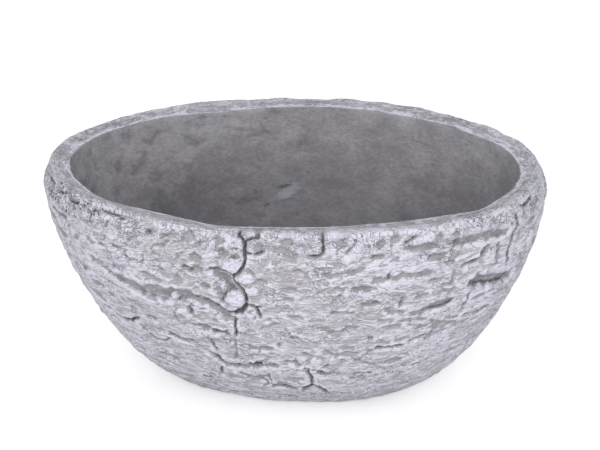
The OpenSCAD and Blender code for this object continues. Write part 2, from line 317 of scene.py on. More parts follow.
def noise(at, seed):
    """Gradient noise, about -1 to 1: each corner of the unit cell round a point has a slope of
    its own, and the eight heights they give are blended with a smooth step."""
    order, vectors, _ = hash_tables(seed)
    cell = np.floor(at).astype(int)
    inside = at - cell
    fade = inside ** 3 * (inside * (6 * inside - 15) + 10)
    total = 0
    for corner in np.ndindex(2, 2, 2):
        slope = vectors[hashed(order, cell + corner)]
        weight = np.prod(np.where(corner, fade, 1 - fade), axis=-1)
        total = total + weight * (slope * (inside - corner)).sum(-1)
    return NOISE_GAIN * total


def rough(at, seed, octaves):
    """Noise on noise: each octave is half as large and half as high as the one before."""
    shares = 0.5 ** np.arange(octaves)
    return sum(s * noise(at / s, seed + k) for k, s in enumerate(shares)) / shares.sum()


print("one sample of noise:", round(float(noise(np.array([0.3, 0.6, 0.9]), 1)), 4))


# %% Cells and steps
def cell_gap(at, seed):
    """Distance to the nearest of a set of points, one scattered in each unit cell."""
    order, _, points = hash_tables(seed)
    cell = np.floor(at).astype(int)
    gap = np.full(at.shape[:-1], np.inf)
    for shift in np.ndindex(3, 3, 3):
        corner = cell + shift - 1
        gap = np.minimum(gap, np.linalg.norm(corner + points[hashed(order, corner)] - at, axis=-1))
    return gap


def ease(value):
    """Smooth step: 0 below 0, 1 above 1, and level at both ends."""
    value = np.clip(value, 0, 1)
    return value * value * (3 - 2 * value)


def terraces(height, step, slope):
    """Plateaus one step apart, joined by a smooth rise over the last share `slope` of each."""
    level = np.floor(height / step)
    return (level + ease((height / step - level - 1 + slope) / slope)) * step


print("terraces of 0 to 1:", terraces(np.linspace(0, 1, 6), 0.5, 0.4))

# %% [markdown]
# ## Cracks, ledges, knobs and hollows
# A few marks give this bark its face: the split that runs down the front between round knobs,
# the ledges beside it, a notch to the right, and flat-floored hollows. They could be
# sculpted, or painted as a height map. Here each is a line of bearings and drops, with a depth
# and a width, and the wall is pressed in by its distance from that line.

# %% Cracks
# Cracks: depth and half width in millimetres, then points of (bearing, drop).
CRACKS = [
    # Front split and what stands beside it.
    (3.6, 1.25, [(-6.6, -10), (-5.2, -7), (-5.2, -3), (-5, 2.5), (-5.6, 7.5), (-7.8, 10.8), (-7.8, 13.2),
                 (-5.8, 16.8), (-5.2, 19), (-5.8, 21.4)]),
    (3.2, 1.5, [(-5.5, 21.2), (-6.5, 23.5), (-8.8, 25.2), (-10.8, 24.8), (-13.5, 22.2)]),
    (2.4, 1.2, [(-8.8, 25.8), (-8.8, 28.8), (-8.8, 31.5), (-9.5, 34.2)]),
    (1.1, 0.8, [(-9.8, 35.2), (-10, 39.5), (-11, 44.8)]),
    (3.4, 1.4, [(-5.8, 21.2), (-4.8, 21.5), (-3.5, 22.2), (-3, 24), (-2.5, 26)]),
    (1.8, 1.1, [(-11, 21.8), (-10.5, 19), (-9.5, 17), (-8, 16), (-6.8, 16.5)]),
    (2.2, 1.1, [(-3.8, 22), (-3, 21.8), (-2, 21.5)]), (2.4, 2, [(-6, 22.2), (-6.5, 24), (-7.2, 25.2)]),
    (3, 1.3, [(-5, -7.6), (-4.2, -8.4), (-3.2, -9.2), (-2, -10)]),
    (3, 1.2, [(-5.2, -2.6), (-4.4, -1.6), (-3.4, -1), (-2.4, -1.2), (-1, -2.4)]),
    (1.4, 1, [(-4.8, 7.5), (-3, 10)]), (2.4, 1.3, [(-13.5, 9.2), (-11, 9.2), (-9.4, 9.4), (-8, 10.8)]),
    (1.8, 1.1, [(-9.8, 4.5), (-7.8, 2), (-6.8, 2.2)]), (1.4, 1, [(-9.8, 4.8), (-10.2, 8)]),
    # Left of the split.
    (2.4, 1.3, [(-19, 9.5), (-18, 10), (-17, 11.2)]),
    (1.6, 1, [(-15.8, 20.8), (-14.4, 21.6), (-13.4, 22.2)]),
    (2.6, 1.6, [(-20.5, 31.8), (-16.8, 31.5), (-14.6, 32.8), (-12.2, 33), (-10.8, 34.4)]),
    (2.2, 1.4, [(-16.8, 36.2), (-16, 38.5), (-15.2, 41)]),
    (2.8, 1.7, [(-18.2, 42.2), (-16.4, 43.6), (-15.2, 46), (-14.6, 48.2)]),
    (2, 1.2, [(-16, 49), (-16.8, 51), (-17, 53.4)]),
    (1.9, 1, [(-44, -8), (-42, -8.8), (-39.6, -9.1), (-37, -9), (-34, -8.2)]),
    (2.4, 1.4, [(-44.4, -8.6), (-43.8, -6)]), (2.4, 1.3, [(-28, -5.2), (-27.2, -5.2)]),
    (1.8, 1, [(-24.5, -4.8), (-22.5, -5.5)]), (2, 1.1, [(-70.8, -9), (-65, -9), (-65, -6.8)]),
    (2, 1.1, [(-61.8, -9), (-58.5, -8), (-56.5, -9)]),
    (2, 1.1, [(-54.8, -8.2), (-52.2, -7), (-50.2, -8.2)]),
    (2, 1.1, [(-49.5, -8.2), (-47.5, -7.5), (-47, -9)]),
    (2.2, 1.2, [(-17.8, 21), (-15.2, 22), (-13.2, 23), (-11.8, 23.8)]),
    (1.6, 1.1, [(-33.5, 23.2), (-30, 24.2), (-24, 23.8)]),
    (1.8, 0.9, [(-47.5, 9), (-46.2, 9.5), (-45.2, 10.8)]),
    (1.8, 0.9, [(-43.2, 9), (-41.5, 9), (-40.2, 10)]), (1.8, 0.9, [(-38.5, 8), (-36.8, 8), (-35, 8.2)]),
    (1.6, 0.9, [(-36.2, 11), (-34.2, 11), (-32.8, 11.8)]),
    (1.6, 1, [(-48.8, 16), (-44.8, 16.8), (-42, 18.8), (-40.5, 19.8)]),
    (2.8, 1.7, [(-54, 36.5), (-51.8, 37.2), (-50, 38.2), (-48, 38.8), (-45, 38.5), (-42, 37.5),
                (-39, 36)]),
    (1.8, 1, [(-37.5, 39.2), (-36.5, 40.5), (-35.5, 41.8), (-34, 42), (-32.2, 42), (-29.2, 40.2)]),
    (1.5, 1, [(-40.5, 53.5), (-38, 54.2), (-35.2, 55.2), (-32.2, 56.2)]),
    (2, 1.3, [(-29, 38.5), (-27.2, 38.8), (-25.2, 39), (-23.2, 39), (-21.8, 39)]),
    (2.4, 1.3, [(-20, 25), (-19.5, 26), (-19.8, 27.5)]),
    (1.3, 0.8, [(-24, 27.5), (-24.8, 30), (-24, 32), (-22.5, 32.5), (-20.5, 30.8)]),
    (1.6, 0.9, [(-34.8, 47.2), (-34.2, 48.5)]), (1.5, 0.9, [(-34, 33), (-32.8, 33.8), (-30.8, 33.2)]),
    (1.2, 0.8, [(-35.8, 23), (-33, 24.2), (-30.2, 25.2)]),
    (1.2, 0.8, [(-45.2, 16), (-43, 17.2), (-41.2, 18.8)]),
    (3.2, 1.8, [(-53.6, 36), (-50, 37.5), (-47.4, 38.6), (-45.2, 38.8), (-41.2, 37), (-37.2, 34.8)]),
    (2, 1.5, [(-38.2, 38.8), (-36, 41), (-34.5, 42.2), (-31, 41.8)]),
    (1.6, 1.1, [(-41.5, 54.2), (-37.5, 55), (-31.5, 55.2)]), (1.8, 1.1, [(-55, 23.5), (-52.4, 23.2)]),
    (1.4, 1, [(-38.2, 31), (-36.8, 32)]), (1.4, 1, [(-32, 32.5), (-30.4, 33.3)]),
    (1.4, 0.9, [(-16.5, 50), (-17.8, 54.5)]),
    # Middle to right.
    (1.4, 0.9, [(21, 1), (22, -0.8), (23.2, -0.5)]), (2, 1, [(6.5, 38.5), (7.8, 39.8), (9.2, 40)]),
    (1.8, 1.1, [(3.5, 31), (4.2, 32.2), (5.4, 33.2)]), (1.8, 1.1, [(0.8, 35.6), (1.7, 37)]),
    (2.6, 0.95, [(11.3, -10), (11.2, -8), (11.2, -6.5), (11, -4.4), (10.8, -2.8)]),
    (2.6, 0.95, [(11, -4), (10.7, -2.4), (9.8, -1.5), (8.6, -1), (7.4, -0.8)]),
    (1.5, 1, [(15.8, -3.2), (17.8, -7.4)]), (2, 1.1, [(31, -8.8), (29.2, -6.8), (27.6, -5.2)]),
    (1.8, 1, [(24.8, 9), (25, 12.4)]), (2, 1, [(29.2, 20), (28.7, 22.8)]),
    (1.8, 1.2, [(19, 20.3), (21.2, 20.6), (23.6, 20.4)]),
    (1.4, 1, [(12.8, 22.5), (15.2, 23.2), (18.8, 23.5)]),
    (2.4, 1.3, [(24.8, 38.4), (29, 38.6), (33, 38.1)]),
    (2.2, 1.3, [(20.6, 50), (22.8, 49.8), (26.6, 50.4)]),
    # Low in the front.
    (2.6, 1.3, [(9.8, 56.5), (11.5, 57.2), (13.5, 60.2), (15.5, 63)]),
    (2.6, 1.3, [(6.5, 60.8), (8.2, 58.8), (9.8, 56.5)]),
    (2.8, 1.3, [(10.8, 48), (12.2, 49.5), (13.2, 50.2), (14.8, 49.5)]),
    (1.8, 0.9, [(13.5, 44.2), (13.2, 45.2), (12.8, 46.5)]),
    (2, 1, [(-3, 58.8), (0, 58.5), (3, 59.5), (6, 60.5)]),
    (2.8, 2, [(-17.5, 42.8), (-16.2, 44.5), (-14.8, 47.2), (-11.2, 47.8), (-7.2, 46.5), (-2.8, 45.8),
              (0.5, 46)]),
    (2, 1.3, [(2, 43.8), (4.8, 43.2), (6.2, 45)]),
    (2.6, 1.4, [(7.2, 46.2), (9.2, 47.2), (11.8, 48.2), (14.2, 49.8)]),
    (3, 0.95, [(8, 47.2), (9, 50.5), (10, 55.5)]), (1.6, 1.2, [(12.8, 46.5), (13.5, 44.2)]),
    (1.6, 1.2, [(-2.8, 50), (-2.5, 54.8), (-1.8, 58.2), (2.5, 57.5)]),
    (2.6, 1.4, [(0, 58.2), (4.5, 58.8), (7.2, 58.2), (10, 56.2), (12.2, 58.5), (15.2, 63)]),
    (1.6, 1, [(-10.8, 51), (-9, 54.2), (-3.8, 53.8), (-3, 57.8)]),
    # Right, as far as the end.
    (1.8, 1, [(53, 4.5), (53.8, 8.8), (54.2, 12.2), (54.8, 15.2)]),
    (1.6, 0.9, [(39.8, 1.5), (40, 5.5), (40.2, 8.2)]), (2, 1, [(34.8, 26.4), (34.5, 28.6)]),
    (2.2, 1.2, [(37.6, 49.7), (40.8, 48.8), (44.6, 48)]), (1.8, 1.1, [(52, 41.2), (56.8, 39.8)]),
    (1.8, 1.1, [(60, 51.7), (62.8, 49.6)]),
    (3.4, 1.5, [(61, -7), (60.8, -4.2), (61.2, -0.5), (59.2, 4), (59, 7.8), (58.2, 11), (59.5, 15.8),
                (59.5, 18.2)]),
    (2.2, 1.3, [(71.2, -9.2), (66.5, -8.2), (64, -7.8)]), (2.6, 1.5, [(64, -9.8), (64, -9)]),
    (2.8, 1.3, [(47, 20.2), (51.5, 21), (58, 23.2), (61.8, 23.5), (65.2, 23.2)]),
    (2.4, 1.2, [(48, 22.2), (47.8, 25.8), (47.2, 28.2)]),
    (2.2, 1.5, [(43.5, 23.2), (41.8, 24.8), (39.2, 25.5), (36.2, 25.2), (34.8, 27)]),
    (1.6, 1, [(58.8, 31.5), (56.2, 32.8), (52.5, 32.2), (48.2, 30.8)]),
    (1.8, 1.3, [(48, 9.2), (48.2, 6.8), (50.2, 5.5)]), (1.5, 1, [(38.8, 0.8), (39.2, 8.5)]),
    (1.8, 1.1, [(54.2, 7), (54.4, 13)]),
    (2.4, 1.7, [(49.4, 6.6), (48.2, 9.5), (46.2, 10.5), (42.6, 10.8)]),
    (1.6, 1, [(38.8, 0.5), (39.2, 9)]), (1.8, 1.1, [(41, 12), (41.2, 18)]),
    (1.8, 1.2, [(54.8, 25), (52.8, 25.5), (49.2, 25.9)]),
    (2.2, 1.3, [(60.2, 32), (55.2, 31.4), (52.2, 32), (48.4, 31.4)]),
    (2.2, 1.4, [(61.5, 20), (62.4, 23.6)]), (1.8, 1.2, [(71, -9.4), (66.8, -8.4)]),
    (2, 1.3, [(70, 34), (76, 33), (83, 34.6)]), (1.8, 1.3, [(80, 41), (86, 39.5), (93, 39)]),
    # Right end, back and left end.
    (2.6, 1.4, [(98, -7), (100, -1), (99, 6), (96.5, 11)]), (2, 1.2, [(97, 15), (99, 22), (100.5, 27)]),
    (1.6, 1, [(99.4, 3), (103, 6)]), (2, 1.4, [(97, 39.5), (104, 40), (112, 37.5)]),
    (2.2, 1.3, [(112, 12), (119, 14), (126, 14.5)]), (1.6, 1.1, [(130, 13), (137, 12.6), (143, 14)]),
    (3, 1.5, [(158, -8), (156.4, -3), (155, 2), (157.5, 8)]),
    (2.6, 1.4, [(158.6, 9), (160, 15), (158.5, 21)]), (2, 1.2, [(158, 24), (160, 31)]),
    (2, 1.1, [(155.6, 0), (152, 2.4), (150.6, 6)]), (1.8, 1, [(159.6, 14), (163.5, 16.4)]),
    (1.8, 1.3, [(126, 31), (133, 29.4), (140, 29.6)]), (2, 1.3, [(146, 31), (153, 32.4), (160, 32)]),
    (2, 1.3, [(172, 19), (180, 17), (187, 16.4)]), (2.2, 1.3, [(192, 17.6), (200, 19.8), (207, 19)]),
    (1.8, 1.3, [(166, 48), (174, 46.6), (181, 46)]), (1.8, 1.2, [(190, 46.5), (199, 48)]),
    (2.4, 1.4, [(206, 6), (213, 4.4), (221, 4.2), (229, 7)]),
    (2.8, 1.5, [(228, -8), (229.4, -2), (228.6, 5)]),
    (2.4, 1.4, [(230, 9), (230.6, 15), (228, 20), (226.4, 25)]), (1.8, 1.1, [(229.4, 16), (234, 18.6)]),
    (1.8, 1.3, [(212, 36), (220, 34.4), (227, 34)]), (2, 1.3, [(234, 35), (242, 36.6), (249, 38)]),
    (2, 1.3, [(242, 14), (249, 16.4), (256, 16.6)]), (2, 1.3, [(262, 14.4), (270, 14.6), (279, 18)]),
    (2, 1.3, [(262, 40), (270, 37.6), (276, 37.4)]), (1.8, 1.2, [(283, 38.4), (291, 41)]),
    (2.2, 1.2, [(284, -7), (286.4, -1), (286, 5)]), (1.6, 1, [(285, 8), (283, 14)]),
    (1.8, 1, [(134, -8), (136, -2), (135, 4)]), (1.8, 1, [(252, -7), (250.4, -1), (251.4, 5)]),
    (1.8, 1.1, [(112, -8), (114, -3)]), (1.8, 1.1, [(196, -8), (194.6, -3), (196, 1)]),
]
print(len(CRACKS), "cracks")

# %% Ledges
# Ledges: flat-floored grooves, as if a flake of bark had come away. Same columns as the cracks.
LEDGES = [
    # Front split and what stands beside it.
    (2.2, 2.7, [(-12.4, 10.4), (-9.8, 12), (-8.8, 14.2), (-8, 16.6)]),
    (1.6, 2.2, [(-12, 26), (-9.6, 26.6), (-8, 27.4)]),
    (1.1, 2, [(-4.2, 38.5), (-2.2, 38.2), (-0.5, 38.2)]),
    # Left of the split.
    (1.3, 3.4, [(-49, 16.8), (-45, 18), (-41.2, 20.6), (-37.5, 21.2)]),
    (2.1, 4.8, [(-41.2, 20.8), (-37.5, 21.2), (-34, 22.2), (-31, 23), (-26.8, 22.4), (-23.2, 21.5),
                (-19.5, 20.5), (-17.6, 21.2)]),
    (2.1, 3.2, [(-21, 20.8), (-17, 21.6), (-14.5, 22.8), (-12.5, 23.9), (-10.2, 25.6), (-9, 25.8)]),
    (1.6, 2, [(-28.8, 38), (-25.8, 39), (-21.2, 39)]), (1, 1.5, [(-34.2, 33), (-30.8, 33.2)]),
    (0.9, 2.6, [(-45.8, 17.5), (-40, 17.5), (-35, 16.2)]),
    (0.8, 2.4, [(-27.8, 13), (-23.8, 14.8), (-20.8, 15)]), (1.3, 2.6, [(-66, 4), (-61, 6), (-55, 5.6)]),
    # Middle to right.
    (1.2, 1.8, [(12.2, 31.1), (15.8, 30.4), (16.6, 29.5), (20.4, 28.9)]),
    (1.1, 2.2, [(10.5, 8.5), (13.8, 9.5), (17, 8), (20.2, 5.8)]),
    (1.1, 2.4, [(25, 12.2), (28.2, 11), (31.2, 11), (35.2, 11)]),
    (1, 2.2, [(27.5, -2.5), (30.8, -3.2), (34.5, -2.5), (38.5, -0.2)]),
    (1.2, 1.5, [(17, 15), (19, 14.5), (21.2, 15.2)]), (1, 2, [(24.8, 23), (27, 24.2), (30.5, 25.2)]),
    (0.9, 1.4, [(21.2, 11.2), (24.5, 11.5)]), (0.9, 1.5, [(16.5, 39.2), (21, 40.2)]),
    (0.9, 1.5, [(22, 41), (25.8, 41)]), (0.9, 1.3, [(29.2, 44.8), (32.8, 45.2)]),
    (0.9, 1.4, [(23.8, 27), (28.2, 27.5)]), (0.9, 1.6, [(19.5, 42.2), (25.5, 46), (32, 50.2)]),
    (0.9, 1.4, [(11.5, 38), (15.8, 40.5), (19, 39)]),
    # Low in the front.
    (2.4, 3, [(-15, 47.8), (-12.2, 48), (-9.2, 47.8), (-7, 46.8), (-4.2, 45.8), (0.8, 45.8)]),
    (1.2, 2, [(-11, 50.5), (-8.8, 53.5), (-6.2, 53.5), (-4.2, 51.2)]),
    (2, 1.9, [(2, 43.2), (3.8, 43.5), (5.5, 44.5), (6.5, 45.8)]),
    (1.2, 1.8, [(-9.8, 52.5), (-8, 54), (-4.8, 52.8), (-2.8, 51.2)]),
    # Right, as far as the end.
    (3.4, 5.2, [(46.2, 19), (49.2, 19.2), (53.5, 20.2), (58.5, 21.8), (62.5, 22.5), (65.8, 23)]),
    (1.5, 3.2, [(38.8, -2.2), (44, -1.5), (47.8, -2), (53.2, -0.5), (57.5, 2.2)]),
    (1.7, 2.6, [(43.5, 23), (41.8, 23.8), (39.2, 24.5), (37.5, 25.2), (35.2, 26), (31.5, 26)]),
    (1.3, 2.4, [(37, -3), (40.8, -3), (43.8, -2.6), (47.2, -2.2), (51.5, -1)]),
    (1.3, 1.9, [(33, 37.4), (34.5, 37), (36.5, 36), (39.8, 35.4), (40.8, 34), (44.4, 33.6)]),
    (1.2, 1.8, [(28.2, 28.2), (34, 28.2), (39, 30.8), (44, 32.4), (48.5, 34.4)]),
    (0.8, 2.8, [(31, 3.8), (34.8, 4.2), (38.2, 5.5)]), (1.1, 1.6, [(39.5, 31.8), (43, 33.2), (47, 34.2)]),
    (1.5, 2.8, [(34.2, 25.2), (36.8, 24.5), (39.5, 24), (42.2, 23.5)]),
    (1.2, 3.2, [(76, 3), (84, 5), (93, 3)]),
    # Right end, back and left end.
    (1.6, 3.8, [(104, 20), (118, 22), (131, 19)]), (1.8, 4, [(176, 31), (190, 33), (206, 30)]),
    (1.6, 3.6, [(246, 28), (262, 30), (276, 26)]), (1.4, 3.2, [(186, 4), (198, 2), (210, -2)]),
]
print(len(LEDGES), "ledges")

# %% Knobs and hollows
# Knobs: bearing, drop, radius in millimetres, and height as a share of a full knob's.
KNOBS = [
    (-8, 19.4, 6.6, 1), (-5, 11.6, 5, 0.8), (-3.9, 15.6, 4.6, 0.65), (-8.2, -6.4, 7.6, 0.6),
    (-8.4, 6.2, 6.8, 0.7), (-7.4, 30.4, 3.6, 0.5), (-4.7, 25.2, 2.8, 0.45), (-3.2, -4.8, 4.2, 0.35),
    (-22.5, 21.6, 2.8, 0.75), (-12.6, 17.8, 4.4, 0.5), (-13.4, 14.4, 3.8, 0.25), (-21.4, 28, 5.6, 0.4),
    (-47, -4.4, 4.2, 0.6), (-40.4, -6.4, 3.6, 0.5), (7.5, -7.6, 3.2, 0.35), (6.5, -4.2, 2.6, 0.35),
    (51, 10.6, 5.4, 0.5), (37, 30.6, 4, 0.4), (70, 12, 6, 0.5), (120, 24, 7, 0.6), (150, 6, 7.5, 0.8),
    (178, 38, 7, 0.6), (218, 27, 7.5, 0.7), (252, 5, 7, 0.6), (296, 27, 7, 0.5), (-46.2, -4.2, 3.8, 0.6),
    (-39.8, -7, 3.2, 0.5), (-22.8, 21.8, 2.2, 0.7), (-1.8, 55.2, 3, 0.6), (10.2, 42.8, 4.2, 0.7),
    (7, 41.2, 3, 0.5), (-29.5, -6, 3.4, 0.4),
]
# Hollows: bearing, drop, half length and half height in millimetres, and tilt in degrees.
HOLLOWS = [
    # Front split and what stands beside it.
    (-9.8, 12.2, 4.6, 3.8, 0), (-9.2, 15.6, 3.4, 2.8, -20), (-10.4, 27.4, 5, 2.8, 0),
    (-9.6, -0.4, 3.6, 4.6, 0), (-10.5, -6.8, 3.2, 2.6, 0), (-10.5, -6.2, 2.9, 2.6, 0),
    (-9.5, -1, 3.4, 3.2, 0), (-2.2, -4.8, 3.4, 3, 0), (-2, 37.8, 4.8, 2.4, 0), (-10, -7, 2, 2.2, 0),
    (-9.5, -0.5, 2.4, 3, 0), (-1.8, 12.5, 4, 1.2, 0),
    # Left of the split.
    (-22.5, 29.2, 3, 2.6, 0), (-17.5, -6.5, 4.8, 3.4, -8), (-15.5, -3, 2.6, 2.2, 0),
    (-19.6, 26.2, 1.9, 2.8, 0), (-40.4, 29.2, 1.6, 1.4, 0), (-45.2, 29, 2.2, 1.8, 0),
    (-27.2, -5.6, 1.8, 1.8, 0), (-28, 17, 8, 3, -6), (-21, 15.6, 3.4, 4.4, 0), (-16, 5, 4.4, 3.4, 0),
    (-34, 50, 9, 2.4, -4), (-50, 27, 8, 2.4, -5), (-62, 14, 9, 2.6, -5), (-17.5, -6.2, 3.2, 2.6, 0),
    (-16, 10, 4, 2.2, 0), (-14.2, 15.5, 3.4, 1.8, 0), (-29.8, 25.2, 5, 1.2, 6), (-36.8, 27.8, 5, 1.1, 8),
    (-31.2, 37.2, 4, 1.2, 6), (-17, 33, 4, 1.4, 3), (-22.2, 43.8, 5, 1.3, 4), (-14.8, 36.8, 3.4, 1.3, 0),
    # Middle to right.
    (15.2, -7.2, 3.8, 4, 0), (23.2, -6.8, 3.4, 2.5, 6), (26.5, -7.8, 3.8, 2, 8), (3.5, -8.2, 4.6, 2.2, 0),
    (7.5, -6.8, 3.4, 2.6, 0), (8, 39.8, 3.2, 1.7, 0), (23, 33.8, 2, 1.5, 0), (25.5, 35, 2.2, 1.6, 0),
    (27.8, 36.2, 2.4, 1.6, 0), (30.2, 36, 2, 1.4, 0), (32.5, 35, 2, 1.5, 0), (4, 18.5, 3.8, 1.7, 0),
    (5.2, 25, 5.4, 1.5, -2), (23.2, 11.9, 5, 1.9, 6), (18.2, 37, 4.2, 1.5, 2), (32, 18.5, 3, 1.2, 4),
    (31.5, 45.2, 7, 2, 4), (20, 14.8, 9, 1.8, 0), (2.6, -4, 6, 2.6, 0), (7.2, 39, 2.4, 1.4, 0),
    (32.8, -2, 9, 2.4, 4), (33.5, 19.8, 5, 1.5, 4), (22.2, 20, 7, 0.8, 0), (15, 23.2, 7, 0.8, 2),
    (28, 30, 6.5, 2.6, 0), (22.2, 1, 5, 1.5, 0), (26.2, 3, 3.6, 1.1, 0), (18.2, 36.8, 3.4, 1.1, 0),
    (18.8, 40.2, 5.4, 1.6, 0), (24, 39.2, 2.6, 1, 0), (26.5, 36, 2.8, 1.1, 0), (31.2, 36, 2.6, 1.1, 0),
    (3.8, 15, 6, 1.1, 0), (6.2, 7.2, 6, 1.2, 0), (0.8, 28.2, 5, 1.1, 0), (6.2, 33.2, 5, 1.2, 0),
    (10.2, 26.2, 5, 1, 0), (23.2, 52, 5, 1.1, -2),
    # Low in the front.
    (10.5, 64.5, 2.4, 2, 0), (0.8, 56, 6, 2.6, 0), (4.4, 53, 7, 3, 0), (-3.8, 43.8, 4, 1.2, 0),
    (14.5, 49.5, 6, 1.2, 0), (6.2, 47.8, 4, 1.1, 0),
    # Right, as far as the end.
    (36.5, -5.6, 3.2, 2.6, 0), (40.8, -6.2, 3, 2.6, 0), (47.2, 28.8, 2.4, 2, 0), (36.8, 31.2, 6, 1.8, 6),
    (42.5, 35.4, 6, 1.8, 6), (36.6, 14.6, 6, 1.8, 4), (52, 47, 8, 2.2, 5), (66, 40, 8, 2.4, 4),
    (68, 3, 8, 2.6, 6), (82, 13, 11, 3.2, 4), (36, 4.5, 7, 3.2, 3), (34, 11.2, 6, 2.2, 3),
    (39.5, 17.4, 4.4, 1.5, 6), (40.2, 32.8, 6, 1.5, -4), (39.2, 36.8, 4, 1.2, -4),
    (44.5, 30.8, 6, 1.3, -6),
    # Right end, back and left end.
    (108, 29, 11, 3, -4), (134, 4, 10, 3, 5), (184, 25, 12, 3.2, 3), (196, 9, 10, 2.8, -4),
    (240, 26, 11, 3, 5), (268, 27, 10, 2.8, -5), (292, 10, 10, 3, 4), (306, 33, 10, 2.8, -4),
    (172, 8, 8, 2.4, 4), (142, 42, 11, 2.8, 3), (120, 2, 8, 2.4, 0), (216, 44, 9, 2.6, 3),
    (94, 52, 9, 2.4, -3),
]
print(len(KNOBS), "knobs,", len(HOLLOWS), "hollows")


# %% Distance from a line
def warp(at, size, reach, seed):
    """The same places, pushed about by three noises, so that no edge runs straight."""
    return at + reach * np.stack([noise(at / size, seed + axis) for axis in range(3)], -1)


FAR = 99.0      # millimetres, for places that a mark doesn't reach
wall_mm = smooth_wall / MM
wandering = warp(warp(wall_mm, 8.0, 0.7, 500), 2.6, 0.35, 504)
# Off the wall it must not wander, or a thin line would miss the wall in places.
wandering -= ((wandering - wall_mm) * wall_normal).sum(-1, keepdims=True) * wall_normal


def line_gap(points, reach):
    """Distance in millimetres from the line through points of (bearing, drop), and the share
    of the line's length at the nearest place. Far points of the wall keep a large distance."""
    line = outer_wall(*np.array(points, float).T) / MM
    spans = np.linalg.norm(np.diff(line, axis=0), axis=1)
    before = np.concatenate([[0], np.cumsum(spans)]) / spans.sum()
    gap, share = np.full(drop_grid.shape, FAR), np.zeros(drop_grid.shape)
    near = ((wandering > line.min(0) - reach) & (wandering < line.max(0) + reach)).all(-1)
    at, best, where = wandering[near], np.full(near.sum(), FAR), np.zeros(near.sum())
    for start, end, first, length in zip(line, line[1:], before, spans):
        along = np.clip((at - start) @ (end - start) / length ** 2, 0, 1)
        away = np.linalg.norm(at - start - along[:, None] * (end - start), axis=1)
        closer = away < best
        where = np.where(closer, first + along * length / spans.sum(), where)
        best = np.where(closer, away, best)
    gap[near], share[near] = best, where
    return gap, share


print("wall within 5 mm of the first crack:", int((line_gap(CRACKS[0][2], 5)[0] < 5).sum()), "points")

# %% Lines pressed into the wall
TAPER = 0.12                    # share of a line's length over which each end dies out
END_WIDTH = 0.55                # share of its width that is left at the very end
WANDER, WANDER_SIZE = 0.7, 4.5  # how much the width varies, and over how many millimetres


def pressed(marks, floor):
    """Depth of a set of lines pressed into the wall. Across, each falls over its half width;
    floor is the share of the half width that stays level at the bottom. A line dies out at its
    ends, but for one that starts on the rim."""
    depth = np.zeros(drop_grid.shape)
    wander = 1 + WANDER * noise(wall_mm / WANDER_SIZE, 520)
    for deepest, half, points in marks:
        gap, share = line_gap(points, 3 * half)
        gap = gap * wander
        from_rim = points[0][1] <= -BAND
        ends = ease(0.25 + np.minimum(share + from_rim, 1 - share) / TAPER)
        width = half * (END_WIDTH + (1 - END_WIDTH) * ends)
        depth = np.maximum(depth, deepest * ends * ease((1 - gap / width) / (1 - floor)))
    return depth


LEDGE_FLOOR = 0.45      # share of a ledge's half width that is level
cracks, ledges = pressed(CRACKS, 0.0), pressed(LEDGES, LEDGE_FLOOR)
print("deepest crack", round(float(cracks.max()), 2), "mm, cracked share",
      round(float((cracks > 0.5).mean()), 3))

# %% Knobs
MOAT_DEPTH, MOAT_AT, MOAT_WIDTH = 0.3, 1.12, 0.16      # as shares of the height and the radius


def domes():
    """Height of the knobs: round domes with a shallow moat, as shares of a full knob."""
    height = np.zeros(drop_grid.shape)
    for bearing, drop, radius, share in KNOBS:
        gap = np.linalg.norm(wandering - outer_wall(bearing, drop) / MM, axis=-1) / radius
        moat = MOAT_DEPTH * np.exp(-((gap - MOAT_AT) / MOAT_WIDTH) ** 2)
        height += share * (ease(2.2 * (1.05 - gap)) - moat)
    return height


knobs = domes()
print("highest knob", round(float(knobs.max()), 2), "of a full one")

# %% Hollows
slant_mm = bark_at[..., 2] / MM
# How long one degree round the bowl is at each place.
degree_mm = np.linalg.norm(around, axis=-1) / MM / (
    (np.roll(bearing_grid, -1, 1) - np.roll(bearing_grid, 1, 1)) % 360)


def round_from(bearing, start):
    """Degrees round the bowl from start to a bearing, the short way, -180 to 180."""
    return (bearing - start + 180) % 360 - 180


HOLLOW_SIDE = 0.35      # share of a hollow's size over which its floor rises to the wall


def flat_hollows():
    """Depth of the hollows, as a share: flat inside a warped, pointed oval, 0 outside."""
    depth = np.zeros(drop_grid.shape)
    sway = 1.2 * noise(wall_mm / 6.0, 520)
    for bearing, drop, half_length, half_height, tilt in HOLLOWS:
        along = round_from(bearing_grid, bearing) * degree_mm
        under = slant_mm - np.interp(drop, drops, slant / MM) + sway
        under = under + along * math.tan(math.radians(tilt))
        pointed = 1 + np.abs(along) / half_length
        size = np.sqrt((along / half_length) ** 2 + (under / half_height) ** 2 * pointed)
        depth = np.maximum(depth, ease((1.1 - size) / HOLLOW_SIDE))
    return depth


hollows = flat_hollows() * (1 - ease((knobs - 0.6) / 0.3))      # a knob stands up through a hollow
print("hollow share", round(float((hollows > 0.5).mean()), 3))

# %% [markdown]
# ## The bark between the marks
# Bark splits into flat scales that are longer than they are high. Noise that is squeezed
# downwards and cut into terraces gives such scales, with a short steep edge round each. A
# smaller and a finer layer lie on top, and close under the rim the surface breaks up into
# little pits and curls. Everything dies out towards the foot, which is flat.

# %% Relief
SCALE_SIZE, SCALE_STEP = np.array([20.0, 20.0, 7.6]), 0.34
FLAKE_SIZE, FLAKE_STEP = np.array([8.0, 8.0, 3.2]), 0.42
TILT = 0.05             # the grain climbs this much to the right, as a share
SINK = 0.5              # the bark's middle lies this far, in millimetres, under the smooth wall
PIT_SIZE, PIT_BAND = 4.6, 15.0
SCALE_HEIGHT, FLAKE_HEIGHT, GRAIN_HEIGHT, PIT_HEIGHT = 1.1, 0.4, 0.2, 1.1      # millimetres
HOLLOW_DEPTH, FISSURE_DEPTH, KNOB_HEIGHT = 1.2, 1.4, 1.8

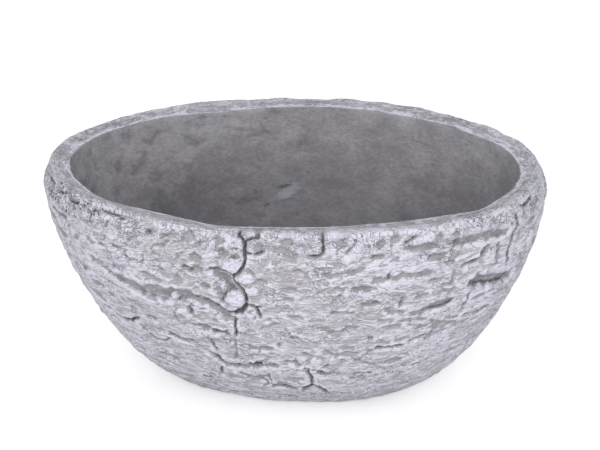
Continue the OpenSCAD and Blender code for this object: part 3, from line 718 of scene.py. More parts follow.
grain_at = warp(bark_at / MM, 34.0, 4.5, 40)
grain_at[..., 2] += TILT * grain_at[..., 0]
scales = terraces(rough(grain_at / SCALE_SIZE, 1, 3), SCALE_STEP, 0.34)
flakes = terraces(rough(grain_at / FLAKE_SIZE, 20, 2), FLAKE_STEP, 0.4)
grains = rough(bark_at / MM / 3.2, 30, 2)
pit_band = ease((PIT_BAND + 6 * noise(wall_mm / 16, 60) - slant_mm) / 7)
pits = 0.55 - cell_gap(warp(bark_at / MM, 6.0, 1.2, 65) / PIT_SIZE, 71)
seam = rough(grain_at / np.array([26.0, 26.0, 7.0]), 80, 2)
fissures = ease(1 - np.abs(seam) / 0.05) * ease((noise(grain_at / 22, 85) - 0.12) / 0.2)

texture = (SCALE_HEIGHT * scales + FLAKE_HEIGHT * flakes * (1 - 0.6 * hollows) + GRAIN_HEIGHT * grains
           + PIT_HEIGHT * pit_band * pits)
texture = texture - texture.mean() - SINK
# Knobs, hollows and ledges are smoother than the bark round them.
calm = (1 - 0.3 * ease(knobs)) * (1 - 0.75 * hollows) * (1 - 0.2 * ease(ledges))
relief = texture * calm - HOLLOW_DEPTH * hollows - FISSURE_DEPTH * fissures + KNOB_HEIGHT * knobs
relief *= 0.2 + 0.8 * ease((drop_grid + BAND) / 3.5)      # calmer at the rim's edge
relief -= np.maximum(cracks, ledges * (1 - ease(knobs)))
relief *= np.minimum(1, (90 - drop_grid) / 9)             # and dying out at the foot
print("relief from", round(float(relief.min()), 2), "to", round(float(relief.max()), 2), "mm")


# %% Where the paint catches
def soften(field, rounds):
    """Blur by repeated 1-2-1 averages: round the bowl they wrap, at top and foot they stop."""
    for _ in range(rounds):
        field = (np.roll(field, 1, 1) + 2 * field + np.roll(field, -1, 1)) / 4
        padded = np.pad(field, ((1, 1), (0, 0)), mode="edge")
        field = (padded[:-2] + 2 * padded[1:-1] + padded[2:]) / 4
    return field


# A dry brush leaves paint where the surface stands over its surroundings.
proud = relief - soften(relief, 14)
edge = soften(relief, 1) - soften(relief, 4)
lip = np.exp(-((slant_mm - 2.5) / 2.5) ** 2)
# The brush pressed harder here and there; towards both ends, where less light falls, the wash is raised
# as painted light.
patches_and_painted_end_light = (0.14 * noise(wall_mm / 45, 99) + 0.28 * noise(wall_mm / 45, 841)
          + 0.24 * ease((np.abs(bearing_grid) - 35) / 40))
level_share = np.maximum(hollows, np.clip(ledges, 0, 1))
outline = 4 * level_share * (1 - level_share)      # 1 half way up the side of a hollow or ledge
CATCH_EVERYWHERE = 0.5
CATCH_MORE = [(0.5, np.maximum(proud, -1.2)), (1.4, edge), (0.28, ease(knobs)), (-0.7, hollows),
              (0.6, outline), (0.14, lip), (1, patches_and_painted_end_light)]
wash_and_painted_light = sum((share * feature for share, feature in CATCH_MORE), CATCH_EVERYWHERE)
print("wash_and_painted_light", np.round(np.percentile(wash_and_painted_light, [5, 25, 50, 75, 95]), 2))

# %% Painted shade in cracks, ledges and hollows
off_knobs = 1 - ease(knobs)
# Cracks and fissures take no wash, and their dark is painted shade. Ledge floors, which are bare grey
# cement, and hollows get a share of it.
shade = np.maximum(ease(cracks / 2.4), 0.45 * ease(fissures))
blotches = 1 + 0.5 * noise(wall_mm / 5, 140) + 0.5 * noise(grain_at / np.array([5.0, 5.0, 1.3]), 141)
shade = np.maximum(shade, 0.4 * blotches * ease(ledges / 1.7) * off_knobs + 0.15 * ease(hollows))
# Painted shadow under the upper edge of a hollow, which overhangs a little.
shade = np.maximum(shade, 0.5 * np.clip(2.5 * np.gradient(level_share, axis=0), 0, 1) * off_knobs)
# Painted shade where the surface is well under its surroundings.
shade = np.maximum(shade, 0.42 * ease((soften(relief, 8) - relief - 0.35) / 1.2))
print("painted_shade share", round(float((shade > 0.3).mean()), 3))

# %% [markdown]
# ## One closed skin
# The bowl is a solid with a hole in it, so its skin closes on itself: from the drain hole out
# over the foot, up the bark, over the rim, down the cavity and back through the hole. Each
# stretch is a stack of rows. A row may have half as many points as its neighbour, which keeps
# the faces near square where the rows get short.

# %% Rounded edges
EDGE_STEPS, RIM_STEPS, CAVITY_ROWS = 4, 6, 34
# Places where the rim is chipped, and where the cavity's lip is worn down: bearing, millimetres
# at the deepest, and half width in degrees.
RIM_NOTCHES = [(177, 1.2, 2.2), (166, 1.1, 2.4), (214, 0.8, 3), (120, 0.8, 3), (252, 0.8, 3)]
LIP_SAGS = [(-13, 2, 9), (-50, 2, 11), (54, 1.8, 7), (206, 2, 12), (150, 1, 10), (128, 1.6, 8)]
RIM_SWELL, SWELL_AT, SWELL_WIDTH = 1.3 * MM, 28.0, 20.0      # the rim stands a little proud here
# Slow waves of the rim's height: millimetres, waves round the bowl, and degrees ahead.
RIM_WAVES = [(0.6, 7, 20), (0.36, 17, 70), (0.24, 29, 0)]
column_bearing = bearings(COLUMNS)


def outward(bearing):
    """Level unit vector away from the middle of the bowl."""
    turn = np.radians(bearing)
    return np.stack([np.sin(turn), -np.cos(turn), np.zeros_like(turn)], -1)


def rounded(base, bearing, inwards, angle, radius, rise):
    """A rounded edge: base moved in or out by radius * (1 - cos) and up by rise * sin."""
    level = radius * (1 - math.cos(angle))
    up = np.stack([np.zeros_like(bearing), np.zeros_like(bearing), rise * math.sin(angle)], -1)
    return base - inwards * level * outward(bearing) + up


def hump(bearing, half):
    """A round hump on a bearing, 1 high: exp of minus the square of the way from it."""
    return np.exp(-(round_from(column_bearing, bearing) / half) ** 2)


print("rim rows", EDGE_STEPS + RIM_STEPS - 1 + EDGE_STEPS + 1)

# %% Rim rows
carved_wall = smooth_wall + wall_normal * relief[..., None] * MM
ring_at = outward(column_bearing) * 120
rim_dip = MM * sum(share * np.sin(np.radians(waves * column_bearing + ahead))
                   for share, waves, ahead in RIM_WAVES)
rim_dip += 0.45 * MM * noise(ring_at / 7.0, 91)
for bearing, depth, half in RIM_NOTCHES:
    rim_dip -= depth * MM * hump(bearing, half)
rim_swell = RIM_SWELL * hump(SWELL_AT, SWELL_WIDTH)
print("rim dips", np.round([rim_dip.min() / MM, rim_dip.max() / MM], 2), "mm")

outer_rise = RIM_ROUND + rim_dip + 0.6 * rim_swell
outer_edges = [rounded(carved_wall[0], column_bearing, 1, math.pi / 2 * k / EDGE_STEPS, RIM_ROUND,
                       outer_rise) for k in range(1, EDGE_STEPS + 1)]
outer_edges = [row + 0.3 * MM * noise(row / MM / 4.5, 109)[:, None] * outward(column_bearing)
               for row in outer_edges]

lip_wander = 0.5 * noise(ring_at / 10, 104) + 0.4 * noise(ring_at / 4, 105)
lip_wall = inner_wall(column_bearing, 0) + outward(column_bearing) * MM * lip_wander[:, None]
for bearing, sag, half in LIP_SAGS:
    lip_wall[:, 2] -= sag * MM * hump(bearing, half)
inner_edges = []
for turn in np.linspace(math.pi / 2, 0, EDGE_STEPS + 1):
    pushed_in = (1 + math.sin(turn)) / 2 * rim_swell[:, None] * outward(column_bearing)
    inner_edges.append(rounded(lip_wall - pushed_in, column_bearing, -1, turn, LIP_ROUND,
                               LIP_ROUND + rim_swell))

across = np.arange(1, RIM_STEPS)[:, None, None] / RIM_STEPS
rim_top = outer_edges[-1] * (1 - across) + inner_edges[0] * across
rim_top[..., 2] += MM * (0.6 * noise(rim_top / MM / 9, 95) + 0.4 * noise(rim_top / MM / 4, 96)) * (
    np.sin(np.pi * across[..., 0]) ** 0.5)

# %% Cavity
# A scab of cement stuck to the back of the cavity: centre and half sizes in millimetres, and tilt.
SCAB_CENTRE, SCAB_SIZE = np.array([-17.0, 91.0, 85.0]), np.array([11.5, 30.0, 4.2])
SCAB_TILT, SCAB_HEIGHT = math.radians(26), 0.8 * MM

inner_drops, _ = even_drops(inner_wall, 0, CAVITY_ROWS)
half_columns = bearings(COLUMNS // 2)
cavity = inner_wall(*np.meshgrid(half_columns, inner_drops[1:]))
hand = 0.5 * noise(cavity / MM / 30, 97) + 0.15 * noise(cavity / MM / 7, 98)
cavity -= outward(half_columns) * hand[..., None] * MM * ease(inner_drops[1:] / 12)[:, None, None]
tilted = np.array([[math.cos(SCAB_TILT), 0, -math.sin(SCAB_TILT)], [0, 1, 0],
                   [math.sin(SCAB_TILT), 0, math.cos(SCAB_TILT)]])
scab_at = (cavity / MM - SCAB_CENTRE) @ tilted / SCAB_SIZE
cavity -= outward(half_columns) * SCAB_HEIGHT * ease(1.5 - np.linalg.norm(scab_at, axis=-1))[..., None]
print("cavity grid", cavity.shape)


# %% Stack of rows
def ring(radius, z, count):
    """Level circle round the middle, with its points on the columns' bearings."""
    return outward(bearings(count)) * radius + np.array([0, 0, z])


def between(inner, outer, share, count):
    """Row of count points, part of the way from a small ring to a big one."""
    a, b = (row[:: len(row) // count] for row in (inner, outer))
    return a * (1 - share) + b * share


n_half, n_quarter, n_eighth = COLUMNS // 2, COLUMNS // 4, COLUMNS // 8
foot_hole, foot_edge = ring(DRAIN_FOOT_R, foot_z, COLUMNS), carved_wall[-1]
floor_hole, floor_edge = ring(DRAIN_FLOOR_R, cavity_z, n_half), cavity[-1]
foot_rows = [between(foot_hole, foot_edge, share, count)
             for share, count in ((0, n_eighth), (0.2, n_quarter), (0.5, n_half), (0.8, COLUMNS))]
wall_rows = list(carved_wall[::-1])
rim_rows = outer_edges + list(rim_top) + inner_edges
floor_rows = [between(floor_hole, floor_edge, share, count)
              for share, count in ((0.7, n_half), (0.35, n_quarter), (0, n_eighth))]
rows = foot_rows + wall_rows + rim_rows + list(cavity) + floor_rows
print("rows", len(rows), "of", sorted({len(row) for row in rows}), "points")


# %% Skin
def stitch(first, n, second, m):
    """Triangles between a ring of n points and the next one of m, which is n, n / 2 or 2 n."""
    i = np.arange(min(n, m))
    nxt = (i + 1) % len(i)
    if n == m:
        return np.concatenate([np.stack([first + i, first + nxt, second + nxt], 1),
                               np.stack([first + i, second + nxt, second + i], 1)])
    many, few = (first, second) if n > m else (second, first)
    a, b, c = many + 2 * i, many + 2 * i + 1, many + (2 * i + 2) % (2 * len(i))
    fan = np.concatenate([np.stack([a, b, few + i], 1), np.stack([b, few + nxt, few + i], 1),
                          np.stack([b, c, few + nxt], 1)])
    return fan if n > m else fan[:, ::-1]


counts = [len(row) for row in rows]
starts = np.concatenate([[0], np.cumsum(counts)])
links = [(starts[k], counts[k], starts[k + 1], counts[k + 1]) for k in range(len(rows) - 1)]
faces = np.concatenate([stitch(*link) for link in links + [(starts[-2], counts[-1], 0, counts[0])]])
points = np.concatenate(rows)

skin = bpy.data.meshes.new("bowl")
skin.from_pydata(points, [], faces)
skin.shade_smooth()
bowl = placed("bark_bowl", skin)
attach(bowl, "bowl")
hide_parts("bowl_body")
print(len(points), "points", len(faces), "triangles")

# %% [markdown]
# ## What each place of the skin is
# A shader cannot tell a crack from a crest, so the skin carries it: how much paint a place
# catches, how much painted shade it takes in cracks, ledges and hollows, whether it is rim or
# cavity, how much painted shade darkens the cavity with depth, and where it lies along the bark,
# so that the fine grain follows the wall.

# %% Attribute helpers
def per_row(foot, wall_part, rim_part, cavity_part, floor_part):
    """One value for each point, from an array or a plain number for each stretch of rows."""
    stretches = [(foot, foot_rows), (wall_part, wall_rows), (rim_part, rim_rows),
                 (cavity_part, list(cavity)), (floor_part, floor_rows)]
    return np.concatenate([np.broadcast_to(part[k] if np.ndim(part) else part, len(row))
                           for part, rows_here in stretches for k, row in enumerate(rows_here)])


def paint(name, values):
    """Writes one value for each point as an attribute that a shader can read."""
    skin.attributes.new(name, "FLOAT", "POINT").data.foreach_set("value", np.asarray(values, np.float32))


print("one value a point:", per_row(0.0, 0.0, 0.0, 0.0, 0.0).shape)

# %% Paint over the rim
# The rim's paint and grey are functions of the share of the way over it, 0 outside to 1 inside.
over_rim = np.arange(len(rim_rows)) / (len(rim_rows) - 1)
rim_share = over_rim[:, None]
streaks = noise(ring_at[None] / 14 + rim_share[..., None] * np.array([0, 0, 9.0]), 101)
mottles = noise(ring_at[None] / 5 + rim_share[..., None] * np.array([0, 0, 6.0]), 106)
# The outer edge takes on the wash of the highest rows of bark, blurred.
TOP_ROWS, TOP_BLUR = 12, 10
top_wash = soften(wash_and_painted_light[:TOP_ROWS], TOP_BLUR)[0]
outer_wash = wash_and_painted_light[0] + (top_wash - wash_and_painted_light[0]) * ease(rim_share / 0.15)
to_top = ease(rim_share / 0.5)
# A white line runs along the lip, brighter in places: partly wash, partly a painted highlight on the
# rounded lip.
lip_at = 0.72 + 0.07 * noise(ring_at / 9, 102)
lip_wash_and_highlight = (0.7 + 0.5 * noise(ring_at / 12, 103)) * np.exp(-((rim_share - lip_at) / 0.11) ** 2)
rim_wash_and_painted_light = outer_wash * (1 - to_top) + (0.36 + 0.7 * streaks + 0.35 * mottles) * to_top + lip_wash_and_highlight
# Inside this line the cement is bare.
edge_of_wash = 0.84 + 0.07 * noise(ring_at / 5, 107) + 0.05 * noise(ring_at / 13, 108)
# The left end is the most broken up.
curls = 1 + 0.9 * np.exp(-((bearing_grid + 54) / 15) ** 2)
wall_pits = pit_band * curls * (1 - 0.8 * hollows)
rim_pits = 0.8 * curls[0] * (1 - ease(rim_share / 0.7))
print("paint on the rim", np.round([rim_wash_and_painted_light.min(), rim_wash_and_painted_light.mean(), rim_wash_and_painted_light.max()], 2))

# %% Attributes of the skin
# Wash a place catches, with painted light towards both ends and a painted highlight on the lip.
paint("catch", per_row(0.1, wash_and_painted_light[::-1], rim_wash_and_painted_light, 0.0, 0.0))
# Painted shade of cracks, ledges and hollows, carried a little way onto the rim.
paint("crack", per_row(0.0, shade[::-1], shade[0] * (1 - ease(rim_share / 0.16)), 0.0, 0.0))
paint("rim", per_row(0.0, 0.0, ease(over_rim / 0.3), ease(1 - np.arange(len(cavity)) / 1.5), 0.0))
paint("inside", per_row(0.0, 0.0, ease((rim_share - edge_of_wash) / 0.12 + 0.5), 1.0, 1.0))
paint("pits", per_row(0.0, wall_pits[::-1], rim_pits, 0.0, 0.0))
# Painted shade, 0 near the lip to 1 deep in the cavity and on its floor.
paint("deep", per_row(1.0, 0.0, 0.0, ease((inner_drops[1:] - 6) / 48), 1.0))
RIM_LENGTH = 20 * MM      # the bark's grain runs on over the rim
along_bark = points.copy()
along_bark[:, 2] = per_row(slant[-1], slant[::-1], -RIM_LENGTH * over_rim, -RIM_LENGTH, -RIM_LENGTH)
bark_field = skin.attributes.new("bark", "FLOAT_VECTOR", "POINT")
bark_field.data.foreach_set("vector", along_bark.astype(np.float32).ravel())
print("attributes:", [a.name for a in skin.attributes if not a.name.startswith(".")])

# %% [markdown]
# ## Cement and wash
# Cement dries uneven: cloudy over centimetres, mottled over millimetres, sandy under a lens,
# and pricked with air holes. The wash is thick paint from a dry brush: it has crisp edges, it
# follows the grain of the bark, and it lines the edges of hollows. Both are built once as node
# groups that put out masks and heights, so that each finish can take its own share of them.

# %% More node helpers
def times(tree, first, second):
    """The product of two numbers or sockets."""
    return calc(tree, "MULTIPLY", first, second)


def added(tree, start, *terms):
    """start plus share * socket + lift for each term."""
    for socket, share, lift in terms:
        start = calc(tree, "ADD", start, calc(tree, "MULTIPLY_ADD", socket, share, lift))
    return start


def step(tree, value, low, high, start=0.0, end=1.0):
    """A smooth step of value from low to high, put out as start to end."""
    return node(tree, "ShaderNodeMapRange", interpolation_type="SMOOTHSTEP", Value=value,
                From_Min=low, From_Max=high, To_Min=start, To_Max=end).outputs["Result"]


def squeezed(tree, at, squeeze):
    """Coordinates stretched by a factor along each axis, so that a pattern gets narrower there."""
    made = node(tree, "ShaderNodeMapping", vector_type="POINT", Vector=at, Scale=squeeze)
    return made.outputs["Vector"]


def clouds(tree, at, size, detail=2.0, distortion=0.0):
    """Noise whose lumps are about size metres across."""
    return node(tree, "ShaderNodeTexNoise", Vector=at, Scale=0.7 / size, Detail=detail,
                Distortion=distortion).outputs["Fac"]


def dot_gap(tree, at, size):
    """Distance to the nearest of dots scattered in cells of size metres, as a share of a cell."""
    made = node(tree, "ShaderNodeTexVoronoi", Vector=at, Scale=1 / size, Randomness=1.0)
    return made.outputs["Distance"]


def mix_colour(tree, share, first, second):
    """Colour between two, each a socket or a colour, by a share from 0 to 1."""
    made = node(tree, "ShaderNodeMix", data_type="RGBA")
    for socket, value in ((made.inputs[0], share), (made.inputs[6], first), (made.inputs[7], second)):
        feed(tree, socket, value)
    return made.outputs[2]


print("helpers:", ", ".join(f.__name__ for f in (times, added, step, squeezed, clouds, dot_gap,
                                                 mix_colour)))

# %% Group helpers
VECTOR, NUMBER = "NodeSocketVector", "NodeSocketFloat"


def new_group(name, inputs, outputs):
    """A node group with named sockets. Returns it with its inputs, and its output node."""
    group = bpy.data.node_groups.new(name, "ShaderNodeTree")
    for label, kind in inputs.items():
        group.interface.new_socket(label, in_out="INPUT", socket_type=kind)
    for label in outputs:
        group.interface.new_socket(label, in_out="OUTPUT", socket_type=NUMBER)
    return group, group.nodes.new("NodeGroupInput").outputs, group.nodes.new("NodeGroupOutput")


def hand_out(group, put, **values):
    """Links what a group made to its outputs by name."""
    for name, value in values.items():
        feed(group, put.inputs[name], value)
    print(group.name, "nodes:", len(group.nodes))


def use_group(tree, group, **inputs):
    """A group node in a tree, as its outputs. Each input is a socket to link or a number."""
    made = tree.nodes.new("ShaderNodeGroup")
    made.node_tree = group
    for name, value in inputs.items():
        feed(tree, made.inputs[name], value)
    return made.outputs


print("helpers:", ", ".join(f.__name__ for f in (new_group, hand_out, use_group)))


# %% Cement group
tree, given, put = new_group("cement", {"Vector": VECTOR}, ("Tone", "Height", "Holes"))
cement, at = tree, given["Vector"]
cloudy, mottled, sandy = (clouds(tree, at, size * MM, detail)
                          for size, detail in ((42, 3), (6, 3), (0.9, 2)))
tone = calc(tree, "ADD", times(tree, cloudy, 0.4), times(tree, mottled, 0.32))
tone = calc(tree, "ADD", tone, times(tree, sandy, 0.28))
# Air holes, where a cloud allows them.
few = step(tree, clouds(tree, at, 14 * MM, 1), 0.5, 0.62)
holes = times(tree, step(tree, dot_gap(tree, at, 9 * MM), 0.05, 0.09, 1, 0), few)
height = calc(tree, "ADD", times(tree, mottled, 0.6), times(tree, sandy, 0.25))
hand_out(tree, put, Tone=tone, Height=calc(tree, "SUBTRACT", height, holes), Holes=holes)

# %% Terrace group
tree, given, put = new_group("terraces", {"Value": NUMBER, "Levels": NUMBER}, ("Height", "Lip", "Foot"))
terrace = tree
climb = times(tree, given["Value"], given["Levels"])
floor_level = calc(tree, "FLOOR", climb)
part = calc(tree, "SUBTRACT", climb, floor_level)
rise = step(tree, part, 0.72, 1.0)
hand_out(tree, put, Height=calc(tree, "ADD", floor_level, rise), Lip=step(tree, part, 0.0, 0.22, 1, 0),
         Foot=calc(tree, "SUBTRACT", step(tree, part, 0.5, 0.78), rise))


# %% Wash helpers
def part_of(tree, share, first, second):
    """The number between two, by a share from 0 to 1."""
    return calc(tree, "MULTIPLY_ADD", calc(tree, "SUBTRACT", second, first), share, first)


def crackle(tree, at, size, width):
    """Broken squiggly lines: the seams of warped cells size metres across, where a cloud allows."""
    swirl = node(tree, "ShaderNodeTexNoise", Vector=at, Scale=0.9 / size, Detail=1.0)
    warped = node(tree, "ShaderNodeVectorMath", operation="MULTIPLY_ADD")
    for socket, value in zip(warped.inputs, (swirl.outputs["Color"], (1.6 * size,) * 3, at)):
        feed(tree, socket, value)
    cells = node(tree, "ShaderNodeTexVoronoi", feature="DISTANCE_TO_EDGE", Vector=warped.outputs[0],
                 Scale=1 / size)
    allowed = step(tree, clouds(tree, warped.outputs[0], 2.4 * size, 1), 0.46, 0.56)
    return times(tree, step(tree, cells.outputs["Distance"], 0.0, width, 1, 0), allowed)


print("helpers:", part_of.__name__, "and", crackle.__name__)

# %% Wash patterns
tree, given, put = new_group("dry_brushed_wash", {"Bark": VECTOR, "Catch": NUMBER, "Pits": NUMBER},
                             ("Mask", "Height", "Dark"))
wash_group, at, pitted = tree, given["Bark"], given["Pits"]
# Crumbly patches, where paint sits on grit, and between them smooth floors with fine scratches.
patches = clouds(tree, squeezed(tree, at, (1, 1, 1.8)), 15 * MM, 3, 0.4)
crumbly = calc(tree, "MAXIMUM", pitted, step(tree, patches, 0.49, 0.60))
grit = calc(tree, "MULTIPLY_ADD", crumbly, 0.7, 0.3)
dabs = clouds(tree, squeezed(tree, at, (1, 1, 1.3)), 2.4 * MM, 3, 0.6)
specks = clouds(tree, at, 0.9 * MM, 2)
scratches = clouds(tree, squeezed(tree, at, (1, 1, 4.5)), 5 * MM, 3)
# Thin leaves of bark, and curls in place of them where it is pitted.
flaky = clouds(tree, squeezed(tree, at, (1, 1, 2.9)), 13 * MM, 3.0, 0.5)
leaves = use_group(tree, terrace, Value=flaky, Levels=9.0)
curly = use_group(tree, terrace, Value=clouds(tree, at, 6 * MM, 2, 1.6), Levels=6.0)
lip, foot, high = (part_of(tree, pitted, leaves[k], curly[k]) for k in ("Lip", "Foot", "Height"))
seams = times(tree, crackle(tree, squeezed(tree, at, (1, 1, 1.9)), 6.5 * MM, 0.055), crumbly)
veins = times(tree, crackle(tree, at, 2.5 * MM, 0.13), crumbly)
# Round pocks in crowds, each with a pale ring.
crowd = calc(tree, "MULTIPLY_ADD", pitted, 0.11, clouds(tree, at, 9 * MM, 1))
some = times(tree, step(tree, crowd, 0.58, 0.68), pitted)
pock_at = dot_gap(tree, at, 4 * MM)
pocks, rings = (times(tree, step(tree, pock_at, near, far, 1, 0), some)
                for near, far in ((0.14, 0.28), (0.38, 0.48)))
print(tree.name, "nodes for its patterns:", len(tree.nodes))

# %% Wash heights and mask
# Each row: a feature, its share and its lift.
gritty = times(tree, added(tree, 0.0, (dabs, 1.3, -0.65), (specks, 1.3, -0.65)), grit)
level = added(tree, given["Catch"], (lip, 0.6, -0.12), (foot, -0.4, 0.05), (gritty, 1.15, 0.0),
              (crumbly, 0.2, -0.10), (scratches, 0.8, -0.4), (seams, -0.5, 0.02), (veins, -0.5, 0.03),
              (pocks, -1.2, 0.0), (rings, 0.3, 0.0))
height = added(tree, 0.0, (high, 0.5, 0.0), (times(tree, dabs, grit), 0.9, 0.0),
               (times(tree, specks, grit), 0.7, 0.0), (scratches, 0.5, 0.0), (seams, -0.6, 0.0),
               (veins, -0.5, 0.0), (pocks, -1.8, 0.0), (rings, 0.5, 0.0))
# Dark is painted shade: in the pocks, along the seams, and at the foot of each leaf, under its edge.
dark = calc(tree, "MAXIMUM", times(tree, pocks, times(tree, pitted, 0.34)), times(tree, seams, 0.22))
dark = calc(tree, "MAXIMUM", dark, times(tree, foot, 0.28))
hand_out(tree, put, Mask=step(tree, level, 0.05, 0.95), Height=height, Dark=dark)

# %% [markdown]
# ## The concrete, inside and out
# Inside, the real bowl is bare cement that has dried uneven, with smudges, a few dark marks and a
# scab from the mould; its colour is also darker where it is deep, as painted shade. Outside,
# white paint lies on pale grey, and painted shade darkens the cracks, ledges and hollows. That
# could be two materials on two sets of faces, but the paint ends in a ragged line on the rim, so
# one material blends the two by an attribute.

# %% Concrete colours
def srgb(red, green, blue):
    """Linear colour from the 0 to 255 numbers of a screen colour."""
    value = np.array([red, green, blue]) / 255
    linear = np.where(value <= 0.04045, value / 12.92, ((value + 0.055) / 1.055) ** 2.4)
    return (*linear.tolist(), 1.0)


BARK_GREY, BARK_PALE = srgb(164, 161, 165), srgb(188, 185, 191)
# CRACK_DARK is the colour of painted shade in cracks, ledges, hollows and holes.
WASH_WHITE, CRACK_DARK = srgb(220, 220, 234), srgb(84, 83, 86)
RIM_GREY, RIM_PALE = srgb(140, 139, 145), srgb(180, 179, 186)
CAVITY_DARK, CAVITY_GREY = srgb(140, 138, 143), srgb(176, 174, 178)
# Painted shade: darker greys for deep in the cavity. STAIN is for real marks and smudges.
DEEP_SHADE_DARK, DEEP_SHADE_GREY, STAIN = srgb(118, 116, 121), srgb(150, 148, 153), srgb(78, 76, 80)
print("linear bark grey", np.round(BARK_GREY[:3], 3), "wash white", np.round(WASH_WHITE[:3], 3))

# %% Marks in the cavity
# Marks in the cavity: centre and half sizes in millimetres, tilt in degrees, darkness, and how
# far and how coarsely the edge frays.
CAVITY_MARKS = [
    ((-8.6, 100, 118.8), (0.8, 30, 2.4), 0, 0.4, 0.6, 2),
    ((-31.5, 86, 76.6), (2.6, 30, 1.1), 30, 0.5, 0.6, 2),
    ((-19.4, 91, 88.8), (6.6, 30, 1.2), 12, 0.6, 0.6, 2),
    ((63, 90, 129), (5, 30, 0.8), 18, 0.22, 1.2, 3),
    ((76, 90, 128), (9, 30, 0.7), -6, 0.2, 1.2, 3),
    ((-60, 85, 108), (34, 50, 16), 10, 0.16, 3.0, 11),
    ((-88, 60, 84), (26, 50, 14), 20, 0.3, 3.6, 9),
    ((-66, 78, 84), (9, 50, 9), 0, 0.2, 2.6, 7),
]


def attribute(tree, name, kind="Fac"):
    """An attribute of the mesh, as a number, or as a vector."""
    return node(tree, "ShaderNodeAttribute", attribute_name=name).outputs[kind]


def spot(tree, at, centre, size, tilt, fray, fray_size):
    """1 inside an ellipsoid given in millimetres and tilted about the Y axis. Its edge is moved in
    and out by clouds fray_size millimetres across."""
    moved = node(tree, "ShaderNodeMapping", vector_type="TEXTURE", Vector=at,
                 Location=[c * MM for c in centre], Rotation=(0, -math.radians(tilt), 0),
                 Scale=[c * MM for c in size])
    far = node(tree, "ShaderNodeVectorMath", operation="LENGTH")
    tree.links.new(moved.outputs[0], far.inputs[0])
    frayed = added(tree, far.outputs["Value"], (clouds(tree, at, fray_size * MM, 3), fray, -fray / 2))
    return step(tree, frayed, 0.55, 1.2, 1, 0)


def bump_from(tree, shader, height, distance):
    """Feeds a height, in steps of distance metres, to the shader's normal."""
    made = node(tree, "ShaderNodeBump", Strength=1.0, Distance=distance, Height=height)
    tree.links.new(made.outputs["Normal"], shader.inputs["Normal"])


print(len(CAVITY_MARKS), "marks in the cavity")

# %% Bare cement inside
concrete, tree, shader = new_material("washed_concrete")
place = node(tree, "ShaderNodeTexCoord").outputs["Object"]
bare = use_group(tree, cement, Vector=place)
trowelled = use_group(tree, cement, Vector=squeezed(tree, place, (0.45, 0.45, 0.8)))
inner_tone = step(tree, trowelled["Tone"], 0.36, 0.64)
# Painted shade: the cavity's colour darkens with depth.
inner = mix_colour(tree, attribute(tree, "deep"), mix_colour(tree, inner_tone, CAVITY_DARK, CAVITY_GREY),
                   mix_colour(tree, inner_tone, DEEP_SHADE_DARK, DEEP_SHADE_GREY))
scab = spot(tree, place, SCAB_CENTRE, SCAB_SIZE, math.degrees(SCAB_TILT), 1.2, 1.6)
speckled = calc(tree, "MULTIPLY_ADD", bare["Tone"], 3.2, -1.15)
inner = mix_colour(tree, times(tree, scab, speckled), inner, RIM_PALE)
stains = 0.0
for centre, size, tilt, darkness, fray, fray_size in CAVITY_MARKS:
    stain = spot(tree, place, centre, size, tilt, fray, fray_size)
    stains = calc(tree, "MAXIMUM", stains, times(tree, stain, darkness))
# Smudges, where the form was oiled too thick: more of them to the left of the middle.
smudges = step(tree, clouds(tree, squeezed(tree, place, (1, 1, 1.4)), 9 * MM, 4, 0.4), 0.5, 0.68)
leftwards = node(tree, "ShaderNodeSeparateXYZ", Vector=place).outputs["X"]
smudges = times(tree, smudges, step(tree, leftwards, -0.05, 0.03, 0.36, 0.08))
stains = calc(tree, "MAXIMUM", stains, smudges)
inner = mix_colour(tree, stains, inner, STAIN)
print(concrete.name, "nodes for the inside:", len(tree.nodes))

# %% Washed cement outside
inside, rim = attribute(tree, "inside"), attribute(tree, "rim")
outside = calc(tree, "SUBTRACT", 1.0, inside)
brushed = use_group(tree, wash_group, Bark=attribute(tree, "bark", "Vector"),
                    Catch=attribute(tree, "catch"), Pits=attribute(tree, "pits"))
tone = step(tree, bare["Tone"], 0.36, 0.64)
grey = mix_colour(tree, rim, mix_colour(tree, tone, BARK_GREY, BARK_PALE),
                  mix_colour(tree, tone, RIM_GREY, RIM_PALE))
grey = mix_colour(tree, inside, grey, inner)
washed = times(tree, brushed["Mask"], outside)
colour = mix_colour(tree, times(tree, washed, 0.9), grey, WASH_WHITE)
# Painted shade from the crack attribute, mottled by the cement's tone. Some paint catches even on the
# floor of a ledge.
blotched = times(tree, attribute(tree, "crack"), calc(tree, "MULTIPLY_ADD", bare["Tone"], 1.8, 0.1))
blotched = times(tree, blotched, calc(tree, "MULTIPLY_ADD", washed, -0.5, 1.0))
# The wash group's dark is painted shade in pocks, seams and at the foot of each leaf.
dark = calc(tree, "MAXIMUM", blotched, times(tree, brushed["Dark"], outside))
# Painted shade in the air holes.
dark = calc(tree, "MAXIMUM", dark, times(tree, bare["Holes"], 0.4))
tree.links.new(mix_colour(tree, dark, colour, CRACK_DARK), shader.inputs["Base Color"])
shader.inputs["Roughness"].default_value = 0.86
shader.inputs["Specular IOR Level"].default_value = 0.25
print(concrete.name, "nodes with the wash:", len(tree.nodes))

# %% Relief of the finish
bark_height = times(tree, times(tree, brushed["Height"], 0.75), outside)
bark_height = times(tree, bark_height, calc(tree, "MULTIPLY_ADD", rim, -0.5, 1.0))
height = calc(tree, "ADD", bark_height, times(tree, bare["Height"], 0.22))
marks_height = calc(tree, "SUBTRACT", times(tree, scab, 0.5), times(tree, stains, 0.5))
height = calc(tree, "ADD", height, times(tree, marks_height, inside))
bump_from(tree, shader, height, 0.9 * MM)
skin.materials.append(concrete)
print(concrete.name, "nodes:", len(tree.nodes))

